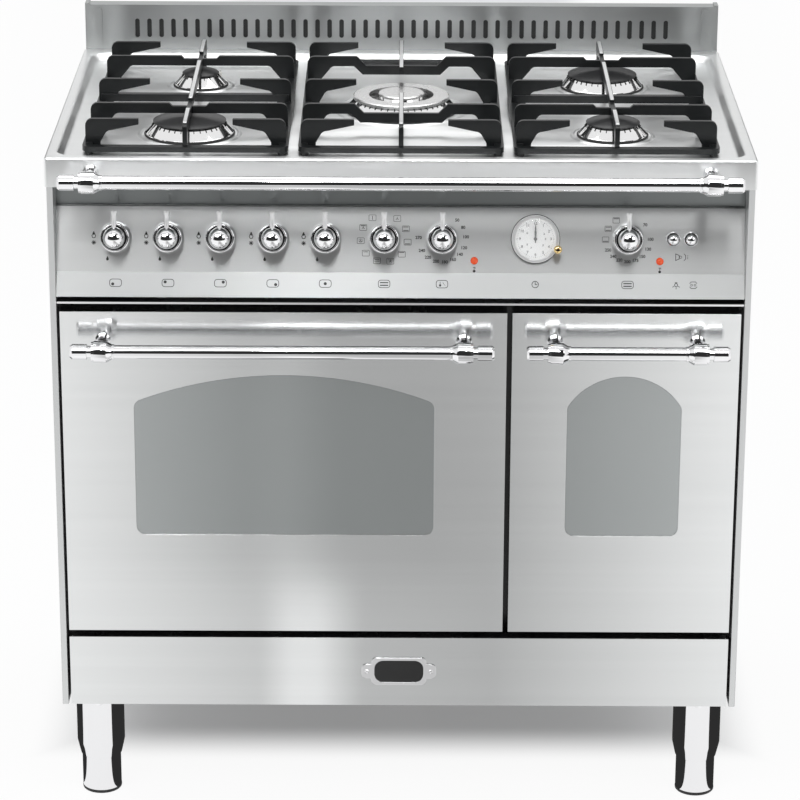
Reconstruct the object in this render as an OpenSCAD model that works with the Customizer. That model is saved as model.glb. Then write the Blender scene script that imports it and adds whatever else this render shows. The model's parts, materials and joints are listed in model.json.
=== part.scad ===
// Dual fuel range cooker: five gas burners over two side by side ovens.
// Millimetres, +Z up. The origin is on the floor under the middle of the
// whole cooker, and the front faces -Y.

/* [Overall] */
// Width of the worktop
width = 900; // [860:10:980]
// Depth from the worktop's front edge to the back of the backguard
depth = 600; // [580:5:660]
// Height of the worktop above the floor
height = 900; // [870:5:940]
// Step of the body's sides inside the worktop's sides
body_step = 2; // [1:0.5:12]
// Thickness of the sheet steel
sheet = 1.5; // [1:0.25:2]

/* [Legs] */
// Height of the body's underside above the floor
leg_h = 145; // [130:1:160]
// Radius of a leg's outer tube
leg_r = 32; // [30:0.5:35]
// Height of the sliding foot that shows below a leg's tube
foot_show = 52; // [45:1:60]
// Height of the chamfer at the end of a leg's tube
leg_chamfer = 20; // [15:1:25]
// Radius of the sliding foot
foot_r = 26; // [24:0.5:28]
// Height of the rubber pad under a foot
pad_h = 4; // [3:1:6]
// Distance of the front legs' axes behind the worktop's front edge
leg_front = 56; // [50:1:70]
// Distance of the rear legs' axes in front of the back
leg_rear = 70; // [60:1:100]
// Distance of the legs' axes inside the body's sides
leg_inset = 45; // [40:1:60]

/* [Worktop] */
// Height of the worktop's front and side skirts
skirt_h = 38; // [34:1:44]
// Depth of the pressed pan below the worktop's rim
pan_drop = 9; // [6:0.5:11]
// Width of the rim beside the pan
rim_side = 14; // [10:1:18]
// Width of the rim in front of the pan
rim_front = 15; // [12:1:20]
// Width of the rim behind the pan
rim_back = 24; // [18:1:30]
// Corner radius of the pan
pan_r = 24; // [10:1:30]
// Height of the pressed collar around a burner
collar_h = 1.5; // [1:0.25:2.5]

/* [Backguard] */
// Height of the backguard above the worktop
guard_h = 64; // [55:1:80]
// Thickness of the backguard from front to back
guard_t = 22; // [18:1:30]
// Number of vent slots in the backguard
slot_n = 45; // [31:2:47]
// Distance between two vent slots
slot_pitch = 17; // [15:0.5:18]
// Width of a vent slot
slot_w = 6.4; // [5:0.2:8]
// Height of a vent slot
slot_h = 27; // [20:1:32]
// Height of the slots' lower ends above the worktop
slot_up = 17; // [14:1:22]

/* [Control panel] */
// Height of the shadow gap between the skirt and the panel's ledge
shadow_gap = 35; // [30:1:40]
// Height of the panel's main face
facet_h = 81; // [76:1:90]
// Lean of the main face from the vertical
facet_tilt = 15; // [8:1:20]
// Height of the lower strip that carries the symbols
strip_h = 30; // [24:1:34]
// Lean of the lower strip from the vertical
strip_tilt = 22; // [15:1:28]
// Height of the row of knobs above the lower strip
row_up = 42.5; // [40:0.5:45]
// Distance of the pilot lamps below the row of knobs
lamp_drop = 28; // [24:1:32]
// Place of the first gas knob, in parts of the width from the middle
gas_first = -0.4044; // [-0.41:0.001:-0.396]
// Step between two gas knobs, in parts of the width
gas_step = 0.0744; // [0.069:0.0002:0.0755]
// Places of the three oven knobs, in parts of the width
oven_knobs_at = [-0.0233, 0.0589, 0.3222];
// Place of the clock, in parts of the width
clock_at = 0.1911; // [0.178:0.001:0.204]
// Places of the two pilot lamps, in parts of the width
lamps_at = [0.1044, 0.3678];
// Places of the two push buttons, in parts of the width
buttons_at = [0.3867, 0.4117];

/* [Knobs] */
// Radius of a knob's ball
ball_r = 14; // [12.5:0.5:14.5]
// Distance of the ball's centre from the panel
ball_out = 27; // [25:0.5:30]
// Length of the lever from the ball's centre
lever_len = 34; // [30:1:38]
// Radius of the lever
lever_r = 3.2; // [2.6:0.1:4]
// Outer radius of the bezel at the panel
bezel_r = 20.5; // [19.5:0.5:22]
// Height of the bezel
bezel_h = 17; // [14:0.5:20]
// Radius of a knob's spindle
spindle_r = 4; // [3:0.25:5]
// Running clearance around a spindle, pin or shaft
running = 0.05; // [0.02:0.01:0.08]

/* [Clock and buttons] */
// Radius of the clock's bezel
clock_r = 31.4; // [28:0.2:33]
// Radius of the clock's dial
dial_r = 26.8; // [24:0.2:27.2]
// Depth of the clock's case behind the panel
clock_deep = 24; // [18:1:30]
// Radius of a push button
button_r = 7; // [6:0.25:7.5]
// Travel of a push button
button_travel = 3; // [2:0.5:4]

/* [Doors] */
// Part of the two doors' width that the left door takes
door_part = 0.662; // [0.63:0.002:0.68]
// Gap between the two doors
door_gap = 7; // [5:1:9]
// Clearance between a door and a side panel's post
door_side = 4; // [3:0.5:6]
// Thickness of a door
door_t = 36; // [34:1:40]
// Height of the gap over the doors
door_over = 19; // [17:1:24]
// Height of the gap under the doors
door_under = 9.5; // [9:0.5:12]
// Height of the window's sill above the door's bottom edge
sill_up = 137; // [120:1:150]
// Distance of the window's crown below the door's top edge
crown_down = 85; // [76:1:95]
// Distances of the two windows inside their doors' edges
window_in = [92.3, 72.2];
// Rises of the two windows' arches
arch_rise = [37.5, 43];
// Radius of the windows' corners
window_r = 12; // [6:1:16]
// Height of a door's hinge pin above its bottom edge
pivot_up = 8; // [8:0.5:10]
// Radius of a hinge pin
pin_r = 4; // [3:0.25:4.5]

/* [Rail and handles] */
// Distance of the bars' axes from what carries them
bar_out = 45; // [40:1:50]
// Radius of the bars
bar_r = 8.8; // [8:0.2:10]
// Radius of the barrels that carry a bar
barrel_r = 14; // [12.5:0.5:15]
// Distance of a barrel's middle from the bar's end
barrel_in = 38; // [36:1:46]
// Distance of the towel rail's ends inside the worktop's sides
rail_inset = 21; // [16:1:30]
// Distance of a handle's ends inside the door's edges
handle_inset = 17; // [14:1:22]
// Distance of a handle's axis below the door's top edge
handle_down = 39; // [34:1:46]

/* [Lower panel] */
// Height of the lower panel
kick_h = 97.5; // [85:0.5:105]
// Width of the blank plate on the lower panel
plate_w = 99; // [80:1:110]
// Height of the blank plate
plate_h = 39; // [30:1:44]

/* [Ovens] */
// Distance of a cavity's sides inside its door's edges
cavity_side = 52; // [48:1:60]
// Height of the cavities
cavity_h = 355; // [330:1:360]
// Depth of the cavities
cavity_d = 430; // [400:1:440]
// Height of the cavities' floor above the doors' bottom edge
cavity_up = 46; // [44:1:52]
// Thickness of the insulated jacket's liner
liner = 1.5; // [1:0.25:2]
// Radius of a rack's wires
wire_r = 2; // [1.75:0.25:2.5]
// Heights of the shelf runners above the cavity's floor
runner_up = [52, 122, 192, 262];
// Radius of the fan
fan_r = 74; // [60:1:80]

/* [Grates] */
// Distance of the outer grates from the pan's side walls
grate_side = 30; // [14:1:36]
// Distance of the grates from the pan's front wall
grate_front = 30; // [20:1:36]
// Distance of the grates from the pan's rear wall
grate_rear = 41; // [30:1:48]
// Gap between two grates
grate_gap = 13; // [8:1:16]
// Height of the grates' top above the worktop's rim
grate_up = 33; // [30:1:38]
// Width of a grate's lower ring
ring_w = 12; // [10:0.5:14]
// Height of a grate's lower ring
ring_h = 7; // [6:0.5:10]
// Height of the feet under a grate's ring
grate_foot = 4.5; // [3:0.5:5]
// Thickness of a grate's fingers
finger_t = 6; // [5:0.5:8]
// Reach of the short fingers' tips from the grate's centre line
tip_x = 60; // [56:1:66]
// Distance of the outer rows of fingers from the grate's ends
row_in = 27; // [24:1:34]
// Distance of the burners from the grate's centre, in parts of its depth
row_part = 0.2714; // [0.26:0.0002:0.285]
// Half the width of the lowered hub where the long fingers cross
hub_half = 26; // [20:1:32]
// Depth of the lowered hub
hub_drop = 4; // [2:0.5:5]
// Depth of the dip in the middle grate's long fingers
dip = 12.5; // [10:0.5:14]

/* [Burners] */
// Radii of the four caps, from the left front one clockwise
cap_r = [47.5, 25, 47, 35];
// Radii of the four crowns at their foot, in the same order
crown_r = [58, 36.5, 56, 45.5];
// Height of the caps' rim above the worktop's rim
cap_up = 8.5; // [7:0.5:9]
// Height of a cap's dome above its rim
cap_dome = 6.5; // [5:0.5:7]
// Outer radius of the middle burner's ring
wok_r = 64; // [60:1:68]
// Radius of the opening in that ring
wok_slot_r = 43; // [40:1:46]
// Radius of the plate inside the ring
wok_plate_r = 30.5; // [28:0.5:33]
// Radius of the middle burner's crown at its foot
wok_foot_r = 75; // [70:1:80]
// Height of the ring's top above the worktop's rim
wok_up = 12.5; // [10:0.5:13]
// Height of the plate above the ring
plate_up = 3; // [2:0.5:4]

/* [Hidden] */

$fn = 48;
// Clearance of pieces that fit into each other
fit = 0.3;
// Length by which a cutting tool runs past what it cuts
over = 1;

// How far the bars stand out in front of the worktop's edge
reach = bar_out + barrel_r;
y_front = (reach - depth) / 2;

// Width over the two side panels
body_w = width - 2 * body_step;

// Levels, from the top down and from the floor up
z_skirt = height - skirt_h;
z_pan = height - pan_drop;
z_ledge = z_skirt - shadow_gap;
z_crease = z_ledge - facet_h;
z_strip = z_crease - strip_h;
z_kick = leg_h + 2;
plate_z = z_kick + kick_h / 2 + 1;
z_door = z_kick + kick_h + door_under;
z_door_top = z_strip - door_over;
door_h = z_door_top - z_door;
z_cavity = z_door + cavity_up;
z_grate = height + grate_up;

// Depths behind the worktop's front edge
post_y = 3;
post_d = 57;
post_w = 8;
flange = 20;
tray_edge = 24;
bolt_r = 6;
frame_y = door_t + 2;
frame_t = 2;
cavity_y = frame_y + frame_t;
guard_y = depth - guard_t;
back_y = guard_y - 3 * sheet;
crease_y = post_y + strip_h * tan(strip_tilt);
ledge_y = crease_y + facet_h * tan(facet_tilt);
upright_y = ledge_y + 6;
row_y = crease_y + row_up * tan(facet_tilt);
row_z = z_crease + row_up;

// Doors, left then right
post_x = body_w / 2 - post_w;
door_left_w = door_part * (2 * (post_x - door_side) - door_gap);
door_x0 = [-post_x + door_side, -post_x + door_side + door_left_w + door_gap];
door_x1 = [-post_x + door_side + door_left_w, post_x - door_side];
door_c = [for (i = [0, 1]) (door_x0[i] + door_x1[i]) / 2];
door_w = [for (i = [0, 1]) door_x1[i] - door_x0[i]];
window_w = [for (i = [0, 1]) door_w[i] - 2 * window_in[i]];
cavity_w = [for (w = door_w) w - 2 * cavity_side];
pivot_y = 8;
z_pivot = z_door + pivot_up;
lug_t = 5;
lug_r = 6;
lug_in = 34;
lip = 10;
pane_t = 5;
hinge_band = 42;
cheek_t = 3;
cheek_gap = 0.8;

// Places across the control panel
gas_x = [for (i = [0:4]) (gas_first + i * gas_step) * width];
oven_knob_x = oven_knobs_at * width;
knob_x = concat(gas_x, oven_knob_x);
clock_x = clock_at * width;
lamp_x = lamps_at * width;
button_x = buttons_at * width;

// Grates, burners and legs
pan_w = width - 2 * rim_side;
pan_d = guard_y - rim_front - rim_back;
grate_w = (pan_w - 2 * grate_side - 2 * grate_gap) / 3;
grate_d = pan_d - grate_front - grate_rear;
grate_y = rim_front + grate_front + grate_d / 2;
grate_x = grate_w + grate_gap;
row_out = grate_d / 2 - row_in;
row_mid = grate_d * row_part;
burner_xy = [[-grate_x, grate_y - row_mid], [-grate_x, grate_y + row_mid],
    [grate_x, grate_y + row_mid], [grate_x, grate_y - row_mid]];
collar_r = [for (r = crown_r) r + 9.5];
z_collar = z_pan + collar_h;
z_cap = height + cap_up;
z_wok = height + wok_up;
leg_x = body_w / 2 - leg_inset;
leg_xy = [[-leg_x, leg_front], [leg_x, leg_front], [-leg_x, depth - leg_rear], [leg_x, depth - leg_rear]];

// Everything is placed from the worktop's front edge
module placed() translate([0, y_front, 0]) children();

// Places children on the panel's main face, +Z out of it and +Y up along it
module on_face(x, up = 0) translate([x, row_y, row_z]) rotate([90 - facet_tilt, 0, 0]) translate([0, up, 0]) children();

// Extrudes an outline of [y, z] points along X, centred on x
module along_x(x, w) translate([x, 0, 0]) rotate([90, 0, 90]) linear_extrude(w, center = true) children();

// Extrudes an outline of [x, z] points along Y, from y backwards
module along_y(y, d) translate([0, y + d, 0]) rotate([90, 0, 0]) linear_extrude(d) children();

// A rod along X
module rod_x(x0, x1, y, z, r) translate([x0, y, z]) rotate([0, 90, 0]) cylinder(h = x1 - x0, r = r);

// A rod along Y
module rod_y(x, y0, y1, z, r) translate([x, y0, z]) rotate([-90, 0, 0]) cylinder(h = y1 - y0, r = r);

// A box from its lowest to its highest corner
module box(a, b) translate(a) cube(b - a);

// A rectangle with round corners, centred
module round_rect(w, d, r) {
    square([w - 2 * r, d], center = true);
    square([w, d - 2 * r], center = true);
    for (x = [-1, 1], y = [-1, 1]) translate([x * (w / 2 - r), y * (d / 2 - r)]) circle(r);
}

// Points of an arc
function arc(x, y, r, a0, a1, n = 6) = [for (i = [0:n]) let(a = a0 + (a1 - a0) * i / n) [x + r * cos(a), y + r * sin(a)]];

// The outline of a folded sheet: a path, and the same path moved aside by the thickness
function side(a, b) = [a[1] - b[1], b[0] - a[0]] / norm(b - a);
function folded(path, t) = let(last = len(path) - 1) concat(path, [for (i = [last:-1:0])
    let(m = side(path[max(i - 1, 0)], path[max(i, 1)]), n = side(path[min(i, last - 1)], path[min(i + 1, last)]))
    path[i] + t * (m + n) / (1 + m * n)]);

// The outline of an arched window, taken in by c all round
function window(i, c = 0) =
    let(w = window_w[i] - 2 * c, lo = z_door + sill_up + c, r = window_r - c,
        big = (pow(window_w[i] / 2, 2) + pow(arch_rise[i], 2)) / (2 * arch_rise[i]) - c,
        mid = z_door_top - crown_down - c - big,
        turn = mid + sqrt(pow(big - r, 2) - pow(w / 2 - r, 2)),
        a = atan2(turn - mid, w / 2 - r))
    [for (p = concat(arc(-w / 2 + r, lo + r, r, 180, 270), arc(w / 2 - r, lo + r, r, 270, 360),
        arc(w / 2 - r, turn, r, 0, a), arc(0, mid, big, a, 180 - a, 24), arc(-w / 2 + r, turn, r, 180 - a, 180)))
        [p[0] + door_c[i], p[1]]];

// Side panels: a sheet with a box-shaped front post and a rear flange
module side_panel(s) {
    out = body_w / 2;
    low = leg_h;
    high = height - sheet - fit;
    color([0.8, 0.8, 0.8]) placed() mirror([s < 0 ? 1 : 0, 0, 0]) translate([0, 0, low]) linear_extrude(high - low) {
        translate([out - sheet, post_y]) square([sheet, back_y + sheet - post_y]);
        translate([out - post_w, post_y]) square([post_w, sheet]);
        translate([out - post_w, post_y]) square([sheet, post_d]);
        translate([out - flange, back_y]) square([flange, sheet]);
    }
}

module back_panel() {
    w = body_w - 2 * sheet - 2 * fit;
    low = leg_h + 4;
    high = z_skirt;
    color([0.6, 0.6, 0.6]) placed() difference() {
        box([-w / 2, back_y - sheet, low], [w / 2, back_y, high]);
        // Vents over the ovens
        for (i = [-12:12]) box([i * 28 - 3, back_y - sheet - over, high - 70], [i * 28 + 3, back_y + over, high - 40]);
        rod_y(gas_in_x, back_y - sheet - over, back_y + over, pipe_z, shoulder_r + fit);
        rod_y(gland_x, back_y - sheet - over, back_y + over, gland_z, gland_r + fit);
    }
}

// Base tray that the legs bolt to
module base_frame() {
    w = 2 * post_x - 2 * fit;
    z = leg_h;
    path = [[-w / 2, z + tray_edge], [-w / 2, z], [w / 2, z], [w / 2, z + tray_edge]];
    color([0.3, 0.3, 0.3]) placed() difference() {
        along_y(cavity_y, back_y - sheet - cavity_y) polygon(folded(path, frame_t));
        for (p = leg_xy) translate([p[0], p[1], z - over]) cylinder(h = frame_t + 2 * over, r = bolt_r);
    }
}

// Front frame around the two oven mouths, with the doors' hinge lugs
module front_frame() {
    w = 2 * post_x - 2 * fit;
    low = z_kick;
    high = z_strip - 7;
    color([0.12, 0.12, 0.12]) placed() {
        difference() {
            union() {
                box([-w / 2, frame_y, low], [w / 2, frame_y + frame_t, high]);
                // Ledge over the doors, whose edge shows as a bright line
                box([-w / 2, post_y + 2, high - 2.5], [w / 2, frame_y, high]);
            }
            for (i = [0, 1]) box([door_c[i] - cavity_w[i] / 2, frame_y - over, z_cavity],
                [door_c[i] + cavity_w[i] / 2, cavity_y + over, z_cavity + cavity_h]);
        }
        for (i = [0, 1], s = [-1, 1]) lug(door_c[i] + s * (door_w[i] / 2 - lug_in));
    }
}

module lug(x) along_x(x, lug_t) difference() {
    union() {
        translate([pivot_y, z_pivot]) circle(lug_r);
        translate([pivot_y, z_pivot - lug_r]) square([frame_y - pivot_y, 2 * lug_r]);
    }
    translate([pivot_y, z_pivot]) circle(pin_r + running);
}

module worktop() {
    pan_y = rim_front + pan_d / 2;
    color([0.85, 0.85, 0.85]) placed() {
        difference() {
            translate([0, guard_y / 2, z_skirt]) linear_extrude(skirt_h) round_rect(width, guard_y, 4);
            translate([0, guard_y / 2, z_skirt - over]) linear_extrude(skirt_h + over - sheet)
                round_rect(width - 2 * sheet, guard_y - 2 * sheet, 4 - sheet);
            translate([0, pan_y, z_skirt]) linear_extrude(skirt_h + over) round_rect(pan_w, pan_d, pan_r);
        }
        // Wall and floor of the pan
        difference() {
            translate([0, pan_y, z_pan - sheet]) linear_extrude(pan_drop)
                round_rect(pan_w + 2 * sheet, pan_d + 2 * sheet, pan_r + sheet);
            translate([0, pan_y, z_pan]) linear_extrude(pan_drop) round_rect(pan_w, pan_d, pan_r);
            for (i = [0:3]) translate([burner_xy[i][0], burner_xy[i][1], z_pan - 2 * sheet])
                cylinder(h = 3 * sheet, r = crown_r[i] - 8);
            translate([0, grate_y, z_pan - 2 * sheet]) cylinder(h = 3 * sheet, r = wok_foot_r - 10);
        }
        for (i = [0:3]) translate([burner_xy[i][0], burner_xy[i][1], z_pan]) collar(collar_r[i], crown_r[i] - 8);
        translate([0, grate_y, z_pan]) collar(wok_foot_r + 13, wok_foot_r - 10);
    }
}

// Pressed collar around a burner
module collar(r, hole) difference() {
    cylinder(h = collar_h, r1 = r, r2 = r - collar_h);
    translate([0, 0, -over]) cylinder(h = collar_h + 2 * over, r = hole);
}

// Hollow upstand with a row of vent slots, open below and behind
module backguard() {
    w = body_w - 1;
    low = z_skirt;
    high = height + guard_h;
    cap = 6;
    rib_x = w / 2 - cap - 13;
    color([0.8, 0.8, 0.8]) placed() {
        difference() {
            box([-w / 2, guard_y, low], [w / 2, depth, high]);
            box([-w / 2 + cap, guard_y + sheet, low - over], [w / 2 - cap, depth - sheet, high - sheet]);
            along_y(guard_y - over, sheet + 2 * over) for (i = [0:slot_n - 1])
                translate([(i - (slot_n - 1) / 2) * slot_pitch, height + slot_up + slot_h / 2])
                    round_rect(slot_w, slot_h, slot_w / 2 - 0.01);
        }
        for (s = [-1, 1]) {
            // Taller end caps and the pressed ribs beside them
            box([s * (w / 2 - cap / 2) - cap / 2, guard_y, high], [s * (w / 2 - cap / 2) + cap / 2, depth, high + 2]);
            along_y(guard_y - 1.5, 1.5) translate([s * rib_x, height + guard_h / 2]) round_rect(10, guard_h - 8, 4.9);
        }
    }
}

// Folded control panel with a leaning face
module fascia() {
    w = 2 * post_x - 2 * fit;
    path = [[post_y + 22, z_strip], [post_y, z_strip], [crease_y, z_crease], [ledge_y, z_ledge],
        [upright_y, z_ledge], [upright_y, z_pan - sheet - 8], [upright_y + 12, z_pan - sheet - 8]];
    color([0.7, 0.7, 0.7]) placed() difference() {
        along_x(0, w) polygon(folded(path, -sheet));
        for (x = knob_x) on_face(x) translate([0, 0, -10]) cylinder(h = 20, r = spindle_r + 1);
        for (x = lamp_x) on_face(x, -lamp_drop) translate([0, 0, -10]) cylinder(h = 20, r = lamp_r + fit);
        for (x = button_x) on_face(x) translate([0, 0, -10]) cylinder(h = 20, r = button_r + fit);
        on_face(clock_x) translate([0, 0, -10]) cylinder(h = 20, r = dial_r + 2);
    }
}

module kick_panel() {
    x = post_x - door_side;
    path = [[18, z_kick + kick_h], [0, z_kick + kick_h], [0, z_kick], [frame_y - fit, z_kick]];
    color([0.8, 0.8, 0.8]) placed() difference() {
        along_x(0, 2 * x) polygon(folded(path, sheet));
        for (s = [-1, 1]) rod_y(s * (plate_w / 2 - 7), -over, 4, plate_z, 1.6);
    }
}

module placed_plate(w, h) translate([0, 0, plate_z]) rotate([90, 0, 0]) linear_extrude(2) round_rect(w, h, 7);

// Blank plate with a sunk field and an ear at each end
module blank_plate() color([0.8, 0.8, 0.8]) placed() difference() {
    union() {
        placed_plate(plate_w, plate_h * 0.52);
        placed_plate(plate_w - 26, plate_h);
    }
    translate([0, -1.2, plate_z]) rotate([90, 0, 0]) linear_extrude(2) round_rect(plate_w - 34, plate_h - 8, 12);
    for (s = [-1, 1]) rod_y(s * (plate_w / 2 - 7), -5, over, plate_z, 1.6);
}

// One end of a bar: end piece, neck, barrel, cone and the stem to what carries it
module bar_end(s) {
    translate([0, 0, -barrel_in]) {
        cylinder(h = 3, r1 = bar_r - 1, r2 = bar_r + 1.2);
        translate([0, 0, 3]) cylinder(h = 18, r = bar_r + 1.2);
        translate([0, 0, 21]) cylinder(h = 7, r = bar_r - 1);
    }
    translate([0, 0, -11]) cylinder(h = 3, r = barrel_r - 1);
    translate([0, 0, -8]) cylinder(h = 16, r = barrel_r);
    translate([0, 0, 8]) cylinder(h = 7, r1 = barrel_r, r2 = bar_r + 1);
    translate([0, 0, 15]) cylinder(h = 3, r = bar_r + 1);
    // The stem points to +Y of the cooker
    rotate([-90, 0, 0]) cylinder(h = bar_out - 4, r = 7);
    translate([0, bar_out - 6, 0]) rotate([-90, 0, 0]) cylinder(h = 6, r1 = 8.5, r2 = 10.5);
}

// A bar along X between x0 and x1, carried at both ends
module bar_handle(x0, x1, z) translate([0, -bar_out, z]) {
    rod_x(x0 + barrel_in, x1 - barrel_in, 0, 0, bar_r);
    translate([x0 + barrel_in, 0, 0]) rotate([0, 90, 0]) bar_end();
    mirror([1, 0, 0]) translate([-x1 + barrel_in, 0, 0]) rotate([0, 90, 0]) bar_end();
}

module towel_rail() color([0.9, 0.9, 0.9]) placed()
    bar_handle(-width / 2 + rail_inset, width / 2 - rail_inset, height - skirt_h / 2);

// Outer tubes of the four legs
module legs() color([0.85, 0.85, 0.85]) placed() for (p = leg_xy) translate([p[0], p[1], 0]) difference() {
    union() {
        translate([0, 0, foot_show + leg_chamfer]) cylinder(h = leg_h - foot_show - leg_chamfer, r = leg_r);
        translate([0, 0, foot_show]) cylinder(h = leg_chamfer, r1 = foot_r + 1.5, r2 = leg_r);
    }
    translate([0, 0, foot_show - over]) cylinder(h = foot_in + over + 2, r = foot_r + 0.4);
}
foot_in = leg_h - foot_show - 8;

// Sliding foot with its rubber pad's seat
module foot(i) color([0.85, 0.85, 0.85]) placed() translate([leg_xy[i][0], leg_xy[i][1], 0]) {
    cylinder(h = pad_h, r = foot_r - 1);
    translate([0, 0, pad_h]) cylinder(h = foot_show - pad_h + foot_in, r = foot_r);
}

// Open-fronted liner of an oven
module oven(i) color([0.25, 0.25, 0.27]) placed() {
    x0 = door_c[i] - cavity_w[i] / 2;
    x1 = door_c[i] + cavity_w[i] / 2;
    difference() {
        box([x0 - liner, cavity_y, z_cavity - liner], [x1 + liner, cavity_y + cavity_d + liner, z_cavity + cavity_h + liner]);
        box([x0, cavity_y - over, z_cavity], [x1, cavity_y + cavity_d, z_cavity + cavity_h]);
        if (i == 0) rod_y(fan_x, cavity_y + cavity_d - over, cavity_y + cavity_d + 5, fan_z, fan_shaft_r + running);
    }
    // Motor housing behind the liner, with the fan's bearing
    if (i == 0) difference() {
        rod_y(fan_x, cavity_y + cavity_d, cavity_y + cavity_d + 55, fan_z, 34);
        rod_y(fan_x, cavity_y + cavity_d - over, cavity_y + cavity_d + 40, fan_z, fan_shaft_r + running);
    }
}
fan_shaft_r = 4;
fan_x = door_c[0];
fan_z = z_cavity + cavity_h / 2;

// Wire ladders on the side walls of both ovens
module rack_guides() color([0.8, 0.8, 0.8]) placed() for (i = [0, 1], s = [-1, 1]) {
    wall = door_c[i] + s * cavity_w[i] / 2;
    x = wall - s * guide_in;
    // Uprights lie behind the runners, so that a shelf slides past them
    upright = wall - s * (wire_r + 0.6);
    for (y = [cavity_y + 40, cavity_y + cavity_d - 50]) {
        translate([upright, y, z_cavity + 20]) cylinder(h = cavity_h - 60, r = wire_r);
        for (z = [z_cavity + 28, z_cavity + cavity_h - 50])
            rod_x(min(upright, wall), max(upright, wall), y, z, wire_r * 0.9);
    }
    for (up = runner_up, d = [0, runner_gap]) {
        rod_y(x, cavity_y + 30, cavity_y + cavity_d - 40, z_cavity + up + d, wire_r);
    }
}
guide_in = 3 * wire_r;
runner_gap = 14;
rack_in = 2 * wire_r + 1;

// A wire shelf in an oven, resting on one pair of runners
module rack(i, level) color([0.85, 0.85, 0.85]) placed() {
    r = wire_r + 0.25;
    z = z_cavity + runner_up[level] + wire_r + r + fit;
    x0 = door_c[i] - cavity_w[i] / 2 + rack_in + r;
    x1 = door_c[i] + cavity_w[i] / 2 - rack_in - r;
    y0 = cavity_y + 22;
    y1 = cavity_y + cavity_d - 60;
    for (y = [y0, y1]) rod_x(x0 - r, x1 + r, y, z, r);
    rod_x(x0, x1, (y0 + y1) / 2, z - 0.4, r * 0.8);
    for (x = [x0, x1]) rod_y(x, y0, y1, z, r * 0.9);
    n = round((x1 - x0) / 30);
    for (j = [1:n - 1]) rod_y(x0 + (x1 - x0) * j / n, y0, y1, z, wire_r * 0.8);
}

// An enamelled tray on the lowest runners of the left oven
module tray_left() color([0.15, 0.15, 0.17]) placed() {
    z = z_cavity + runner_up[0] + wire_r + fit;
    w = cavity_w[0] - 2 * rack_in;
    y = cavity_y + 26;
    d = cavity_d - 90;
    inner = guide_in + wire_r + 2 - rack_in;
    difference() {
        union() {
            translate([door_c[0], y + d / 2, z]) linear_extrude(1.5) round_rect(w, d, 10);
            translate([door_c[0], y + d / 2, z - tray_deep]) linear_extrude(tray_deep) round_rect(w - 2 * inner, d - 20, 16);
        }
        translate([door_c[0], y + d / 2, z - tray_deep + 1.5]) linear_extrude(tray_deep + 2)
            round_rect(w - 2 * inner - 3, d - 23, 14.5);
    }
}
tray_deep = 28;

// Convection fan: a hub with blades on its shaft
module fan() color([0.7, 0.7, 0.7]) placed() {
    y = cavity_y + cavity_d - 30;
    rod_y(fan_x, y - 4, cavity_y + cavity_d + 38, fan_z, fan_shaft_r);
    rod_y(fan_x, y, y + 4, fan_z, fan_r * 0.45);
    for (a = [0:30:330]) translate([fan_x, y, fan_z]) rotate([0, a, 0]) box([fan_r * 0.4, 0, -0.75], [fan_r, 22, 0.75]);
}

// Slotted cover in front of the fan
module fan_cover() color([0.3, 0.3, 0.32]) placed() {
    y = cavity_y + cavity_d - 44;
    w = 2 * fan_r + 40;
    translate([fan_x, 0, fan_z]) difference() {
        translate([0, y + 44, 0]) rotate([90, 0, 0]) linear_extrude(44) round_rect(w, w, 30);
        translate([0, y + 46, 0]) rotate([90, 0, 0]) linear_extrude(44.5) round_rect(w - 3, w - 3, 28.5);
        for (r = [24, 42, 60], a = [0:45:315]) rotate([0, a + r, 0]) box([r - 4, y - over, -r * 0.22], [r + 4, y + 3, r * 0.22]);
    }
}

// A door: the outer skin folded back all round, hinge cheeks and pins
module door(i) color([0.85, 0.85, 0.85]) placed() {
    x0 = door_x0[i];
    x1 = door_x1[i];
    difference() {
        box([x0, 0, z_door], [x1, door_t, z_door_top]);
        // Hollow between the skin and the inner pane, and the pane's seat
        box([x0 + sheet, sheet, z_door + sheet], [x1 - sheet, door_t - pane_t - sheet, z_door_top - sheet]);
        box([x0 + sheet + lip, door_t - pane_t - sheet - over, z_door + hinge_band + lip],
            [x1 - sheet - lip, door_t + over, z_door_top - sheet - lip]);
        box([x0 + sheet, door_t - pane_t, z_door + hinge_band], [x1 - sheet, door_t + over, z_door_top - sheet]);
        box([x0 + sheet, door_t - pane_t, z_door + sheet], [x1 - sheet, door_t + over, z_door + hinge_band - sheet]);
        along_y(-over, sheet + 2 * over) polygon(window(i));
        for (x = hinge_x(i)) box([x - lug_t / 2 - 2, sheet, z_door - over], [x + lug_t / 2 + 2, door_t + over, z_pivot + lug_r + 3]);
    }
    for (x = hinge_x(i)) hinge(x);
}
function hinge_x(i) = [for (s = [-1, 1]) door_c[i] + s * (door_w[i] / 2 - lug_in)];

// Two cheeks in a door and the pin that runs in the frame's lug
module hinge(x) {
    for (s = [-1, 1]) {
        c = x + s * (lug_t / 2 + cheek_gap + cheek_t / 2);
        box([c - cheek_t / 2, sheet / 2, z_door + sheet / 2], [c + cheek_t / 2, door_t - pane_t - sheet / 2, z_pivot + 12]);
    }
    rod_x(x - lug_t / 2 - cheek_gap - 1, x + lug_t / 2 + cheek_gap + 1, pivot_y, z_pivot, pin_r);
}

// Outer glass of a door: it fills the window and laps behind the skin
module door_glass(i) color([0.3, 0.32, 0.33]) placed() {
    along_y(0.4, sheet - 0.4 + 1) polygon(window(i, fit));
    along_y(sheet, 3.5) polygon(window(i, -8));
}

// Inner glass of a door
module door_inner(i) color([0.1, 0.1, 0.1]) placed()
    box([door_x0[i] + sheet + fit, door_t - pane_t, z_door + hinge_band + fit],
        [door_x1[i] - sheet - fit, door_t, z_door_top - sheet - fit]);

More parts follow.
